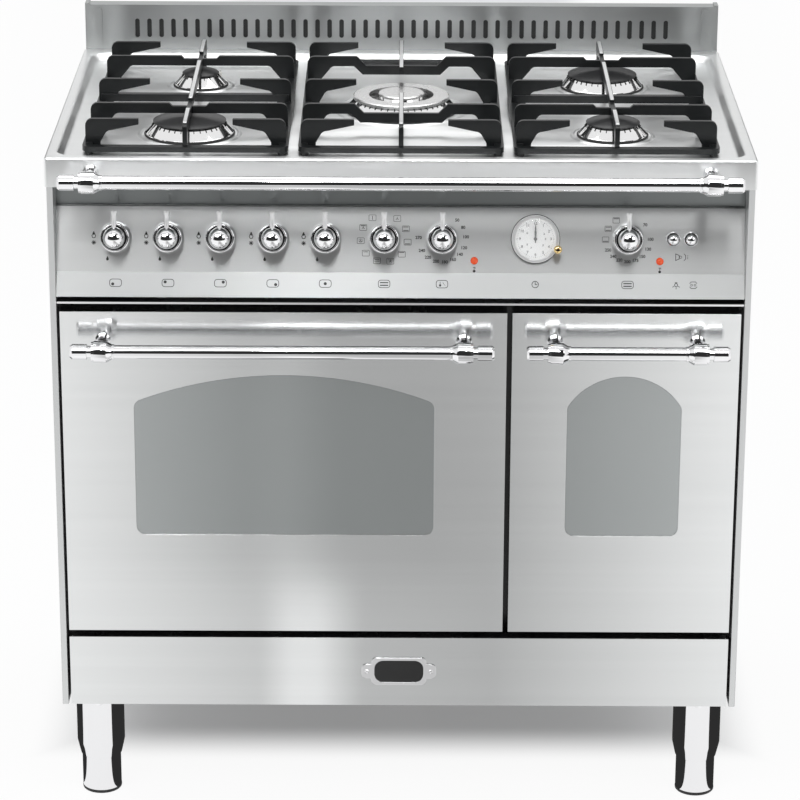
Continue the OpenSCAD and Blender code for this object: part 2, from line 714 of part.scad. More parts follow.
module handle(i) color([0.9, 0.9, 0.9]) placed()
    bar_handle(door_x0[i] + handle_inset, door_x1[i] - handle_inset, z_door_top - handle_down);

// Length of a spindle behind the panel
spindle_in = 24;

// A ball knob with its lever and spindle
module knob(i) color([0.9, 0.9, 0.9]) placed() on_face(knob_x[i]) {
    translate([0, 0, -spindle_in]) cylinder(h = spindle_in + ball_out, r = spindle_r);
    translate([0, 0, 3]) cylinder(h = ball_out - 3, r = ball_r * 0.72);
    translate([0, 0, ball_out]) sphere(ball_r);
    translate([0, 0, ball_out]) rotate([-90, 0, 0]) {
        cylinder(h = lever_len - 3, r = lever_r);
        translate([0, 0, lever_len - 3]) cylinder(h = 2, r = lever_r + 0.5);
        translate([0, 0, lever_len - 1]) cylinder(h = 1, r1 = lever_r + 0.5, r2 = lever_r - 0.5);
    }
}

// Cup-shaped bezels of the knobs and the rings of the buttons
module bezels() color([0.85, 0.85, 0.85]) placed() {
    for (x = knob_x) on_face(x) difference() {
        union() {
            cylinder(h = 3, r = bezel_r);
            translate([0, 0, 3]) cylinder(h = bezel_h - 3, r1 = bezel_r - 0.5, r2 = ball_r + 4.3);
        }
        translate([0, 0, 2]) cylinder(h = bezel_h, r = ball_r + 2.5);
        translate([0, 0, -over]) cylinder(h = bezel_h, r = spindle_r + 1);
    }
    for (x = button_x) on_face(x) difference() {
        cylinder(h = 4, r1 = button_r + 2.9, r2 = button_r + 1.5);
        translate([0, 0, -over]) cylinder(h = 4 + 2 * over, r = button_r + fit);
    }
}

// Gas pipe behind the panel with a tap for each gas knob, and the inlet at the back
module gas_rail() color([0.75, 0.7, 0.5]) placed() {
    for (x = gas_x) on_face(x) translate([0, 0, -tap_deep]) difference() {
        cylinder(h = tap_deep - sheet - fit, r = tap_r);
        translate([0, 0, tap_deep - spindle_in - 2]) cylinder(h = spindle_in + 6, r = spindle_r + running);
    }
    rod_x(gas_x[0] - 20, gas_in_x, pipe_y, pipe_z, gas_pipe_r);
    translate([gas_in_x, pipe_y, pipe_z]) sphere(gas_pipe_r + 1.5);
    rod_y(gas_in_x, pipe_y, back_y - 11, pipe_z, gas_pipe_r);
    // Shoulder in the back panel's hole, and the thread behind it
    rod_y(gas_in_x, back_y - 12, back_y + 2, pipe_z, shoulder_r);
    rod_y(gas_in_x, back_y + 1, back_y + 2 + thread_l, pipe_z, gas_thread_r);
}
thread_l = 20;
tap_deep = 46;
tap_r = 10;
shoulder_r = 15;
pipe_y = row_y + tap_deep * cos(facet_tilt);
pipe_z = row_z - tap_deep * sin(facet_tilt);
gas_pipe_r = 8;
gas_thread_r = 10.48;
gas_in_inset = 40;
gas_in_x = post_x - gas_in_inset;
switch_deep = 34;
switch_w = 36;
small_switch = [18, 24, 28];

// Selector, thermostats and push-button switches behind the panel
module switches() color([0.15, 0.15, 0.15]) placed() {
    for (x = oven_knob_x) on_face(x) translate([0, 0, -switch_deep]) difference() {
        translate([-switch_w / 2, -switch_w / 2, 0]) cube([switch_w, switch_w, switch_deep - sheet - fit]);
        translate([0, 0, switch_deep - spindle_in - 2]) cylinder(h = spindle_in + 6, r = spindle_r + running);
    }
    for (x = button_x) on_face(x) translate([0, 0, -small_switch[2]]) difference() {
        translate([-small_switch[0] / 2, -small_switch[1] / 2, 0])
            cube([small_switch[0], small_switch[1], small_switch[2] - sheet - fit]);
        translate([0, 0, small_switch[2] - 16]) cylinder(h = 20, r = button_stem + 0.4);
    }
}
button_stem = 3;

// Gland in the back panel for the mains cable
module cable_gland() color([0.1, 0.1, 0.1]) placed() difference() {
    union() {
        rod_y(gland_x, back_y - sheet - 12, back_y + 14, gland_z, gland_r);
        rod_y(gland_x, back_y, back_y + 6, gland_z, gland_r + 4);
    }
    rod_y(gland_x, back_y - sheet - 13, back_y + 15, gland_z, 5.5);
}
gland_x = -post_x + 60;
gland_z = leg_h + 90;
gland_r = 10;

// Clock: case with dial, domed glass, two hands and the setting knob
module clock_case() color([0.8, 0.8, 0.8]) placed() on_face(clock_x) difference() {
    union() {
        cylinder(h = 4, r1 = clock_r, r2 = clock_r - 1);
        translate([0, 0, -clock_deep]) cylinder(h = clock_deep + 1, r = dial_r + 1.7);
        rotate([0, 0, clock_knob_a]) translate([clock_knob_at, 0, 0]) cylinder(h = 4, r = 4);
    }
    translate([0, 0, 0.5]) cylinder(h = 8, r = dial_r);
    translate([0, 0, -8]) cylinder(h = 10, r = arbor_r + 0.9 + running);
    rotate([0, 0, clock_knob_a]) translate([clock_knob_at, 0, -over]) cylinder(h = 8, r = 1.5 + running);
}
clock_knob_a = -25;
clock_knob_at = 31;
arbor_r = 0.6;

module clock_glass() color([0.8, 0.85, 0.9, 0.4]) placed() on_face(clock_x) intersection() {
    difference() {
        translate([0, 0, dome_z]) sphere(dome_r);
        translate([0, 0, dome_z]) sphere(dome_r - 1.2);
    }
    translate([0, 0, 3.2]) cylinder(h = 20, r = dial_r - 0.1);
}
dome_r = 68;
dome_z = 9.5 - dome_r;

// The hands lie in separate planes on one arbor
module hour_hand() color([0.1, 0.1, 0.1]) placed() on_face(clock_x) difference() {
    union() {
        translate([0, 0, 1]) cylinder(h = 0.8, r = 2.2);
        translate([0, 0, -7]) cylinder(h = 8.5, r = arbor_r + 0.9);
        translate([0, 0, 1]) linear_extrude(0.8) polygon([[-0.9, -3], [0.9, -3], [1.3, 9], [0, 14], [-1.3, 9]]);
    }
    translate([0, 0, -8]) cylinder(h = 11, r = arbor_r + running);
}

module minute_hand() color([0.1, 0.1, 0.1]) placed() on_face(clock_x) {
    translate([0, 0, 2.1]) cylinder(h = 0.8, r = 1.9);
    translate([0, 0, 2.1]) linear_extrude(0.8) polygon([[-0.7, -5], [0.7, -5], [0.9, 14], [0, 20], [-0.9, 14]]);
    translate([0, 0, -7.5]) cylinder(h = 10, r = arbor_r);
}

module clock_knob() color([0.8, 0.65, 0.4]) placed() on_face(clock_x) rotate([0, 0, clock_knob_a])
    translate([clock_knob_at, 0, 0]) {
        translate([0, 0, 0.3]) cylinder(h = 8, r = 1.5);
        translate([0, 0, 4.3]) cylinder(h = 7, r = 3.6);
        translate([0, 0, 11]) cylinder(h = 6, r = 5.4);
        translate([0, 0, 17]) cylinder(h = 2.5, r1 = 5.4, r2 = 3);
    }

// Domed push button on its stem
module button(i) color([0.9, 0.9, 0.9]) placed() on_face(button_x[i]) {
    translate([0, 0, -12]) cylinder(h = 14, r = button_stem);
    translate([0, 0, 2]) cylinder(h = 4, r = button_r);
    translate([0, 0, 6]) intersection() {
        translate([0, 0, 3.5 - 1.2 * button_r]) sphere(1.2 * button_r);
        cylinder(h = 10, r = button_r);
    }
}

// Lenses of the two pilot lamps
module pilot_lamps() color([1, 0.5, 0.1]) placed() for (x = lamp_x) on_face(x, -lamp_drop) {
    translate([0, 0, -8]) cylinder(h = 8, r = lamp_r);
    cylinder(h = 1, r = lamp_r + 0.8);
    translate([0, 0, 1]) intersection() {
        translate([0, 0, -2.5]) sphere(lamp_r + 0.5);
        cylinder(h = 6, r = lamp_r + 0.5);
    }
}
lamp_r = 4;

// Bowls of the five burners, hanging under the pan
module burner_bowls() color([0.6, 0.6, 0.6]) placed() {
    for (i = [0:3]) translate([burner_xy[i][0], burner_xy[i][1], z_collar]) bowl(crown_r[i], crown_r[i] - 9);
    translate([0, grate_y, z_collar]) bowl(wok_foot_r, wok_foot_r - 11);
}

module bowl(r, inner) difference() {
    union() {
        cylinder(h = 1.5, r = r);
        translate([0, 0, -bowl_deep]) cylinder(h = bowl_deep, r = inner);
        translate([0, 0, -bowl_deep - jet_h]) cylinder(h = jet_h, r = jet_r);
    }
    translate([0, 0, 2 - bowl_deep]) cylinder(h = bowl_deep + 8, r = inner - 3);
    translate([0, 0, -bowl_deep - jet_h - over]) cylinder(h = jet_h + 4, r = 1);
}
bowl_deep = 22;
jet_h = 8;
jet_r = 12;

// Slotted crowns that spread the gas, on the bowls
module burner_crowns() color([0.85, 0.85, 0.85]) placed() {
    for (i = [0:3]) translate([burner_xy[i][0], burner_xy[i][1], z_crown])
        crown(crown_r[i] - 0.5, cap_r[i] - 3, cap_r[i] - 8, z_cap - z_crown, round(cap_r[i] * 0.7));
    translate([0, grate_y, z_crown]) crown(wok_foot_r - 0.5, wok_r - 3, wok_r - 9, z_wok - 4 - z_crown, 36);
    // Inner crown of the middle burner, on two bridges
    translate([0, grate_y, z_crown]) {
        crown(wok_plate_r + 3, wok_plate_r - 2, wok_plate_r - 7, z_wok + plate_up - 3 - z_crown, 20);
        for (s = [-1, 1]) box([s * 46 - 18, -5, 0], [s * 46 + 18, 5, 6]);
    }
}
z_crown = z_collar + 1.5;

// A cone with gas slots under its upper edge
module crown(foot, top, bore, h, slots) difference() {
    cylinder(h = h, r1 = foot, r2 = top);
    translate([0, 0, -over]) cylinder(h = h + 2 * over, r = bore);
    for (j = [0:slots - 1]) rotate([0, 0, j * 360 / slots]) box([bore - 2, -0.8, h - 3], [foot + 2, 0.8, h + over]);
}

// Enamelled domes on the four crowns
module burner_caps() color([0.15, 0.15, 0.15]) placed()
    for (i = [0:3]) translate([burner_xy[i][0], burner_xy[i][1], z_cap]) dome(cap_r[i], cap_dome, cap_r[i] - 8.5);

module dome(r, h, spigot) {
    rotate_extrude() polygon(concat([[0, -4], [spigot, -4], [spigot, 0], [r, 0]],
        [for (j = [0:5]) let(x = r * (1 - j / 5)) [x, 2 + (h - 2) * (1 - x * x / (r * r))]]));
}

module wok_ring() color([0.8, 0.8, 0.8]) placed() translate([0, grate_y, z_wok - 4]) difference() {
    union() {
        cylinder(h = 3, r = wok_r);
        translate([0, 0, 3]) cylinder(h = 1, r1 = wok_r, r2 = wok_r - 1.5);
    }
    translate([0, 0, -over]) cylinder(h = 4 + 2 * over, r = wok_slot_r);
}

module wok_plate() color([0.8, 0.8, 0.8]) placed() translate([0, grate_y, z_wok + plate_up - 3]) {
    cylinder(h = 2, r = wok_plate_r);
    translate([0, 0, 2]) cylinder(h = 1, r1 = wok_plate_r, r2 = wok_plate_r - 1.5);
    translate([0, 0, -4]) cylinder(h = 4, r = wok_plate_r - 7.5);
}

// Outline of a finger: [distance from the centre line, height], rising from the ring
// at the outer edge and reaching in to tip
function finger(edge, tip) = let(t = z_grate, b = z_pan + grate_foot)
    concat([[-edge, b]], arc(-edge + 9, t - 9, 9, 180, 90, 5),
        [[-tip, t], [-tip, t - 7.4], [-edge + 33, t - 15]],
        arc(-edge + 33, t - 24, 9, 90, 155, 4), [[-edge + 19, b + ring_h], [-edge + 19, b]]);

// Outline of a long finger over a burner, with its lowered hub
function long_finger(edge) = let(t = z_grate, b = z_pan + grate_foot, half =
    concat([[-edge, b]], arc(-edge + 9, t - 9, 9, 180, 90, 5), [[-hub_half, t], [-hub_half + hub_drop, t - hub_drop]]),
    under = concat(arc(-edge + 37, t - 22, 8.6, 90, 155, 4), [[-edge + 19, b + ring_h], [-edge + 19, b]]))
    concat(half, mirrored(half), mirrored(under, false), under);

// Outline of a long finger of the middle grate, dipping under the pan
function dipped_finger(edge) = let(t = z_grate, b = z_pan + grate_foot, half =
    concat([[-edge, b]], arc(-edge + 9, t - 9, 9, 180, 90, 5), [[-tip_x - 1, t], [-tip_x - 1 + dip, t - dip]]),
    under = concat([[-tip_x + 7, t - dip - 12.5], [-tip_x - 5, t - 13.4]],
        arc(-edge + 37, t - 22, 8.6, 90, 155, 4), [[-edge + 19, b + ring_h], [-edge + 19, b]]))
    concat(half, mirrored(half), mirrored(under, false), under);

// The same points on the other side, in reverse order or not
function mirrored(p, turn = true) = let(q = [for (a = p) [-a[0], a[1]]])
    turn ? [for (i = [len(q) - 1:-1:0]) q[i]] : [for (i = [len(q) - 1:-1:0]) q[i]];

module grate(c, wok) color([0.12, 0.12, 0.12]) placed() translate([c, grate_y, 0]) {
    base = z_pan + grate_foot;
    edge = grate_w / 2 - 3;
    far = grate_d / 2 - 5;
    translate([0, 0, base]) linear_extrude(ring_h) difference() {
        round_rect(grate_w, grate_d, 12);
        round_rect(grate_w - 2 * ring_w, grate_d - 2 * ring_w, 4);
    }
    for (x = [-1, 1], y = [-1, 1]) translate([x * (grate_w / 2 - 8), y * (grate_d / 2 - 8), z_pan]) cylinder(h = grate_foot, r = 5);
    // Short fingers from both sides
    for (s = [0, 1], y = [-row_out, 0, row_out]) mirror([s, 0, 0])
        along_y(y - finger_t / 2, finger_t) polygon(finger(edge, tip_x));
    // Long fingers over the burners
    for (y = [-row_mid, row_mid]) along_y(y - finger_t / 2, finger_t) polygon(wok ? dipped_finger(edge) : long_finger(edge));
    if (wok) {
        for (s = [0, 1]) mirror([0, s, 0]) along_x(0, finger_t) polygon(finger(far, tip_x + 10));
    } else {
        for (s = [0, 1]) mirror([0, s, 0]) along_x(0, finger_t) {
            polygon(finger(far, row_mid + hub_half));
            polygon(spine(hub_drop));
        }
        along_x(0, finger_t) polygon(spine(0, row_mid - hub_half));
        box([-grate_w / 2 + 6, -5, base + 7], [grate_w / 2 - 6, 5, base + 17]);
    }
}

// Outline of the bar along the middle, lowered by drop, from the far hub to the end
function spine(drop, end = undef) = let(t = z_grate - drop, a = is_undef(end) ? -row_mid - hub_half - 4 : -end,
    z = is_undef(end) ? 0 : end) [[a, t - 13.4 + drop], [a, t], [z, t], [z, t - 13.4 + drop]];

side_panel(-1);  // side_panel_left
side_panel(1);  // side_panel_right
back_panel();
base_frame();
front_frame();
worktop();
backguard();
fascia();
kick_panel();
blank_plate();
towel_rail();
legs();
for (i = [0:3]) foot(i);
oven(0);  // oven_left
oven(1);  // oven_right
rack_guides();
rack(0, 2);  // rack_left
tray_left();
rack(1, 1);  // rack_right
fan();
fan_cover();
door(0);  // door_left
door_glass(0);  // door_left_glass
door_inner(0);  // door_left_inner
handle(0);  // handle_left
door(1);  // door_right
door_glass(1);  // door_right_glass
door_inner(1);  // door_right_inner
handle(1);  // handle_right
for (i = [0:7]) knob(i);
bezels();
gas_rail();
switches();
cable_gland();
clock_case();
clock_glass();
hour_hand();
minute_hand();
clock_knob();
button(0);  // button_light
button(1);  // button_spark
pilot_lamps();
burner_bowls();
burner_crowns();
burner_caps();
wok_ring();
wok_plate();
grate(-grate_x, false);  // grate_left
grate(0, true);  // grate_middle
grate(grate_x, false);  // grate_right
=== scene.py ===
# %% [markdown]
# # A dual fuel range cooker
# The solids of the cooker are already made: sheet metal, doors, knobs, burners
# and cast iron. This lesson dresses them. It gives each one a finish, rounds the
# edges that catch the light, and adds what only the eye needs, such as printed
# symbols, gaskets and screws. Sizes are in metres, in the solids' own frame. Only
# the points of profiles and of printed signs are drawn in millimetres.

# %% Load the solids
import json
import math
import bmesh
import bpy
from mathutils import Matrix, Vector


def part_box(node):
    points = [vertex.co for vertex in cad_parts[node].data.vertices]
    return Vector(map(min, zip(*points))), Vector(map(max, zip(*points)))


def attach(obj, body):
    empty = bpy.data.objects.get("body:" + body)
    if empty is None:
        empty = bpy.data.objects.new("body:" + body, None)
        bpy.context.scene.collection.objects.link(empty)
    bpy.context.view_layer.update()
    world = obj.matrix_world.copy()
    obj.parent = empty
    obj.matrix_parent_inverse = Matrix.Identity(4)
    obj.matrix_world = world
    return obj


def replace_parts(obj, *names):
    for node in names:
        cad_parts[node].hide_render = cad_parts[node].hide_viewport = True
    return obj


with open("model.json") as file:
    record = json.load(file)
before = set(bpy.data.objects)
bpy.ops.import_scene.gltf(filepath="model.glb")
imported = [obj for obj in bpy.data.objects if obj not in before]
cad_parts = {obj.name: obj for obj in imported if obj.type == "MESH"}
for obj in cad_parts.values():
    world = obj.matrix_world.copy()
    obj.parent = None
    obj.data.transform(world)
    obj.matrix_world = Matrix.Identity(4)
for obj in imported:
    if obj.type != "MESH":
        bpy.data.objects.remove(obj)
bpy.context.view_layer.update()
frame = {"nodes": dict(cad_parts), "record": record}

nodes = frame["nodes"]

# %% [markdown]
# ## The camera
# The photograph looks down a little from far away with a long lens, so the front
# stays almost square. The camera stands at the same place: about four metres
# away, two metres up, pitched down by twenty degrees.

# %% Place the camera
camera_distance = 4.3595
camera_height = 2.0401
pitch = 0.3432
roll = 0.0043
camera = bpy.data.objects.new("camera", bpy.data.cameras.new("camera"))
bpy.context.collection.objects.link(camera)
turn = Matrix.Rotation(math.pi / 2 - pitch, 4, "X") @ Matrix.Rotation(roll, 4, "Z")
camera.matrix_world = Matrix.Translation((0, -camera_distance, camera_height)) @ turn
camera.data.sensor_width = 36
camera.data.lens = 151.48
camera.data.clip_start = 0.1
camera.data.clip_end = 60
bpy.context.scene.camera = camera
bpy.context.scene.view_settings.view_transform = "Standard"

# %% [markdown]
# ## Shader groups
# Brushed steel isn't one colour: fine scratches all run one way, and hands and
# cloths leave broad, faint clouds on it. Both effects serve many finishes, so
# each is a node group that is built once. They read Object coordinates, so they
# stay fixed to the metal wherever the camera stands.

# %% Make small tools for nodes
def new_group(name, kind, inputs, outputs):
    """A node group with named inputs and outputs. Returns it, what comes in and where it ends."""
    group = bpy.data.node_groups.new(name, kind)
    for way, sockets in (("INPUT", inputs), ("OUTPUT", outputs)):
        for label, form, *value in sockets:
            socket = group.interface.new_socket(label, in_out=way, socket_type="NodeSocket" + form)
            if value:
                socket.default_value = value[0]
    return group, group.nodes.new("NodeGroupInput").outputs, group.nodes.new("NodeGroupOutput")


def set_inputs(tree, node, values):
    """Feeds a node's inputs. A socket is linked, and anything else is written in."""
    for label, value in values.items():
        if isinstance(value, bpy.types.NodeSocket):
            tree.links.new(value, node.inputs[label])
        else:
            node.inputs[label].default_value = value


def adjust(thing, **settings):
    """Writes several settings of a node, a modifier, a curve or an object."""
    for label, value in settings.items():
        setattr(thing, label, value)
    return thing


def add_node(tree, kind, values, **settings):
    """A node with its settings made and its inputs fed."""
    node = adjust(tree.nodes.new(kind), **settings)
    set_inputs(tree, node, values)
    return node


def add_math(tree, operation, *operands):
    """A Math node. Each operand is a number or a socket."""
    return add_node(tree, "ShaderNodeMath", dict(enumerate(operands)), operation=operation).outputs[0]


def add_noise(tree, vector, scale, detail, roughness=0.5):
    """A Noise Texture over a vector socket."""
    values = {"Vector": vector, "Scale": scale, "Detail": detail, "Roughness": roughness}
    return add_node(tree, "ShaderNodeTexNoise", values).outputs["Fac"]


def object_place(tree):
    """Where a point lies on its object."""
    return tree.nodes.new("ShaderNodeTexCoord").outputs["Object"]


def object_xyz(tree):
    """The same place as three numbers."""
    return add_node(tree, "ShaderNodeSeparateXYZ", {0: object_place(tree)}).outputs


# %% Make node groups
ALONG_X = (5.0, 600.0, 600.0)
UPRIGHT = (700.0, 700.0, 30.0)


def brushed_grain():
    """Scratches along one direction, from stretched noise at two scales."""
    group, start, end = new_group("brushed_grain", "ShaderNodeTree", [("Stretch", "Vector", ALONG_X)],
                                  [("Grain", "Float"), ("Broad", "Float")])
    factors = {0: object_place(group), 1: start["Stretch"]}
    place = add_node(group, "ShaderNodeVectorMath", factors, operation="MULTIPLY").outputs[0]
    set_inputs(group, end, {"Grain": add_noise(group, place, 1.6, 3.0, 0.6),
                            "Broad": add_noise(group, place, 0.12, 2.0)})
    return group


def soft_clouds():
    """Broad, faint patches that hands and cloths leave."""
    group, start, end = new_group("soft_clouds", "ShaderNodeTree", [("Size", "Float", 6.0)],
                                  [("Cloud", "Float")])
    set_inputs(group, end, {"Cloud": add_noise(group, object_place(group), start["Size"], 3.0)})
    return group


def cast_pits():
    """The dimpled skin of enamelled cast iron and of sand castings."""
    group, start, end = new_group("cast_pits", "ShaderNodeTree", [("Size", "Float", 500.0)],
                                  [("Pits", "Float"), ("Patch", "Float")])
    place = object_place(group)
    set_inputs(group, end, {"Pits": add_noise(group, place, start["Size"], 4.0),
                            "Patch": add_noise(group, place, 22.0, 3.0, 0.6)})
    return group


GRAIN = brushed_grain()
CLOUDS = soft_clouds()
PITS = cast_pits()
print("groups:", GRAIN.name, CLOUDS.name, PITS.name)

# %% [markdown]
# ## Finishes
# A finish is a Principled BSDF whose plain numbers sit on its own sockets. The
# groups only drive what changes over the surface: a slight change of colour,
# more or less gloss, and the bump of scratches or pits.

# %% Start a finish
def new_finish(name, color, metallic=0.0, roughness=0.5):
    """A material with its Principled BSDF ready."""
    made = bpy.data.materials.new(name)
    made.use_nodes = True
    made.diffuse_color = (*color, 1)
    tree = made.node_tree
    shader = tree.nodes["Principled BSDF"]
    set_inputs(tree, shader, {"Base Color": (*color, 1), "Metallic": metallic, "Roughness": roughness})
    return made, tree, shader


def add_group(tree, group, **values):
    """Places a node group, sets its inputs and returns its outputs."""
    return add_node(tree, "ShaderNodeGroup", values, node_tree=group).outputs


def mix_color(tree, factor, first, second):
    """A colour between two others. Each is a tone or a socket."""
    tones = [(*tone, 1) if isinstance(tone, tuple) else tone for tone in (first, second)]
    values = {"Factor": factor, "A": tones[0], "B": tones[1]}
    return add_node(tree, "ShaderNodeMix", values, data_type="RGBA").outputs["Result"]


def mapped(tree, value, start, end, low=0.0, high=1.0, form="LINEAR"):
    """A value taken from one range to another."""
    values = {"Value": value, "From Min": start, "From Max": end, "To Min": low, "To Max": high}
    return add_node(tree, "ShaderNodeMapRange", values, interpolation_type=form).outputs["Result"]


def tint_between(tree, shader, factor, dark, light):
    """Base colour that wanders between two tones."""
    set_inputs(tree, shader, {"Base Color": mix_color(tree, factor, dark, light)})


def gloss_between(tree, shader, factor, low, high):
    """Roughness that wanders between two values."""
    set_inputs(tree, shader, {"Roughness": mapped(tree, factor, 0.0, 1.0, low, high)})


def bump_from(tree, shader, height, strength, distance):
    """Bump that feeds the shader's normal."""
    bump = add_node(tree, "ShaderNodeBump", {"Height": height, "Strength": strength, "Distance": distance})
    set_inputs(tree, shader, {"Normal": bump.outputs["Normal"]})


# %% [markdown]
# ### Brushed steel
# Scratches that all run one way smear a reflection across them and hardly along
# them. That is anisotropy: the shader gets a tangent that runs across the
# scratches. They run along X on the front and the worktop, so the tangent turns
# about X there. On the sides they are upright, and it turns about Z.

# %% Brush the steel
def smear_across(tree, shader, axis, amount):
    """Reflections spread across scratches that run along an axis."""
    tangent = add_node(tree, "ShaderNodeTangent", {}, direction_type="RADIAL", axis=axis)
    set_inputs(tree, shader, {"Tangent": tangent.outputs["Tangent"], "Anisotropic": amount})


def brushed_steel(name, stretch, low, high, dark, light, amount, axis="X"):
    """Steel between two values of roughness and two tones."""
    made, tree, shader = new_finish(name, light, 1.0, low)
    smear_across(tree, shader, axis, amount)
    grain = add_group(tree, GRAIN, Stretch=stretch)
    cloud = add_math(tree, "MULTIPLY", add_group(tree, CLOUDS, Size=5.0)["Cloud"], 0.4)
    mixed = add_math(tree, "MULTIPLY_ADD", grain["Broad"], 0.6, cloud)
    tint_between(tree, shader, mixed, dark, light)
    gloss_between(tree, shader, mixed, low, high)
    bump_from(tree, shader, grain["Grain"], 0.06, 0.0002)
    return made


FRONT_STEEL = brushed_steel("front_steel", ALONG_X, 0.11, 0.13, (0.68, 0.69, 0.69), (0.76, 0.77, 0.77), 0.8)
SIDE_STEEL = brushed_steel("side_steel", UPRIGHT, 0.3, 0.34, (0.63, 0.64, 0.64), (0.66, 0.67, 0.67), 0.7,
                           "Z")
HOB_STEEL = brushed_steel("hob_steel", ALONG_X, 0.28, 0.36, (0.8, 0.81, 0.81), (0.88, 0.89, 0.89), 0.6)
GUARD_STEEL = brushed_steel("guard_steel", ALONG_X, 0.36, 0.42, (0.33, 0.34, 0.34), (0.375, 0.385, 0.385),
                            0.8)
BACK_STEEL = brushed_steel("back_steel", (9.0, 40.0, 9.0), 0.4, 0.55, (0.5, 0.51, 0.52), (0.6, 0.61, 0.62),
                           0.95)

# %% [markdown]
# ### Polished metal, iron, enamel and glass
# Chrome is nearly a mirror, broken only by faint wiping marks. Cast iron and
# enamel get pits, and the tinted door glass is a dark mirror.

# %% Polish, cast and enamel
def polished(name, color, low, high, metallic=1.0):
    """Bright metal with faint wiping marks."""
    made, tree, shader = new_finish(name, color, metallic, low)
    gloss_between(tree, shader, add_group(tree, CLOUDS, Size=40.0)["Cloud"], low, high)
    return made


def pitted(name, dark, light, low, high, size, depth, metallic=0.0):
    """A skin with pits, between two tones and two values of roughness."""
    made, tree, shader = new_finish(name, light, metallic, low)
    pits = add_group(tree, PITS, Size=size)
    tint_between(tree, shader, pits["Patch"], dark, light)
    gloss_between(tree, shader, pits["Patch"], low, high)
    bump_from(tree, shader, pits["Pits"], depth, 0.0003)
    return made


CHROME = polished("chrome", (0.86, 0.86, 0.87), 0.012, 0.035)
SATIN_CHROME = polished("satin_chrome", (0.8, 0.8, 0.81), 0.16, 0.24)
CROWN_CHROME = polished("crown_chrome", (0.84, 0.84, 0.84), 0.06, 0.12)
NICKEL = polished("satin_nickel", (0.9, 0.9, 0.9), 0.3, 0.38, 0.6)
WIRE = polished("plated_wire", (0.72, 0.72, 0.73), 0.15, 0.28)
BRASS = polished("brass", (0.83, 0.62, 0.3), 0.1, 0.2)
ALUMINIUM = pitted("burner_aluminium", (0.7, 0.7, 0.7), (0.82, 0.82, 0.82), 0.2, 0.32, 900.0, 0.15, 1.0)
CAP_ENAMEL = pitted("cap_enamel", (0.01, 0.01, 0.011), (0.017, 0.018, 0.019), 0.32, 0.4, 1200.0, 0.1)
OVEN_ENAMEL = pitted("oven_enamel", (0.05, 0.05, 0.055), (0.1, 0.1, 0.11), 0.2, 0.35, 300.0, 0.1)
BLACK_ENAMEL = pitted("black_enamel", (0.006, 0.006, 0.006), (0.014, 0.014, 0.014), 0.2, 0.32, 200.0, 0.08)
RUBBER = pitted("black_rubber", (0.012, 0.012, 0.012), (0.03, 0.03, 0.03), 0.6, 0.8, 800.0, 0.3)
PLASTIC = pitted("black_plastic", (0.02, 0.02, 0.02), (0.035, 0.035, 0.035), 0.4, 0.55, 600.0, 0.1)
INK = pitted("panel_ink", (0.01, 0.01, 0.01), (0.025, 0.025, 0.025), 0.5, 0.6, 1500.0, 0.02)
DIAL_WHITE = pitted("dial_white", (0.9, 0.9, 0.89), (0.95, 0.95, 0.94), 0.35, 0.45, 900.0, 0.02)
DIAL_GREY = pitted("dial_grey", (0.12, 0.12, 0.12), (0.18, 0.18, 0.18), 0.5, 0.6, 1500.0, 0.02)
ELEMENT = pitted("heating_element", (0.12, 0.12, 0.11), (0.2, 0.2, 0.19), 0.35, 0.5, 700.0, 0.1, 0.8)
CERAMIC = pitted("ceramic", (0.8, 0.79, 0.75), (0.88, 0.87, 0.84), 0.25, 0.35, 500.0, 0.05)

# %% Tint the glass
def door_glass():
    """Tinted glass with a mirror film, a little cloudy."""
    made, tree, shader = new_finish("door_glass", (0.3, 0.315, 0.32), 0.85, 0.1)
    set_inputs(tree, shader, {"Coat Weight": 0.3, "Coat Roughness": 0.02})
    cloud = add_group(tree, CLOUDS, Size=4.0)["Cloud"]
    tint_between(tree, shader, cloud, (0.365, 0.384, 0.382), (0.395, 0.414, 0.412))
    gloss_between(tree, shader, cloud, 0.05, 0.09)
    return made


def clear_glass():
    """Thin clear glass over the dial."""
    made, tree, shader = new_finish("clear_glass", (1, 1, 1), 0.0, 0.01)
    set_inputs(tree, shader, {"Alpha": 0.12, "IOR": 1.45})
    gloss_between(tree, shader, add_group(tree, CLOUDS, Size=60.0)["Cloud"], 0.0, 0.02)
    return made


def orange_lens():
    """The moulded lens of a pilot lamp."""
    made, tree, shader = new_finish("orange_lens", (0.85, 0.09, 0.01), 0.0, 0.15)
    set_inputs(tree, shader, {"Coat Weight": 0.6, "Emission Strength": 0.12,
                              "Emission Color": (1, 0.12, 0.01, 1)})
    cloud = add_group(tree, CLOUDS, Size=300.0)["Cloud"]
    tint_between(tree, shader, cloud, (0.6, 0.045, 0.004), (0.72, 0.085, 0.01))
    return made


DOOR_GLASS = door_glass()
CLEAR_GLASS = clear_glass()
ORANGE = orange_lens()

# %% [markdown]
# ### Iron with a painted highlight
# The pan supports are black. A highlight is painted along the tops of their long
# fins, which turn to bright metal there. The fins stand over the middle and over
# both columns of burners, so the place of a point tells whether it lies on one.

# %% Paint the highlight on the iron
FIN_X = 0.275
FIN_HALF = 0.0023
GRATE_TOP = 0.933
# Painted highlight: it fades in between these two depths below the top.
HIGHLIGHT_START = GRATE_TOP - 0.0014
HIGHLIGHT_FULL = GRATE_TOP - 0.0004


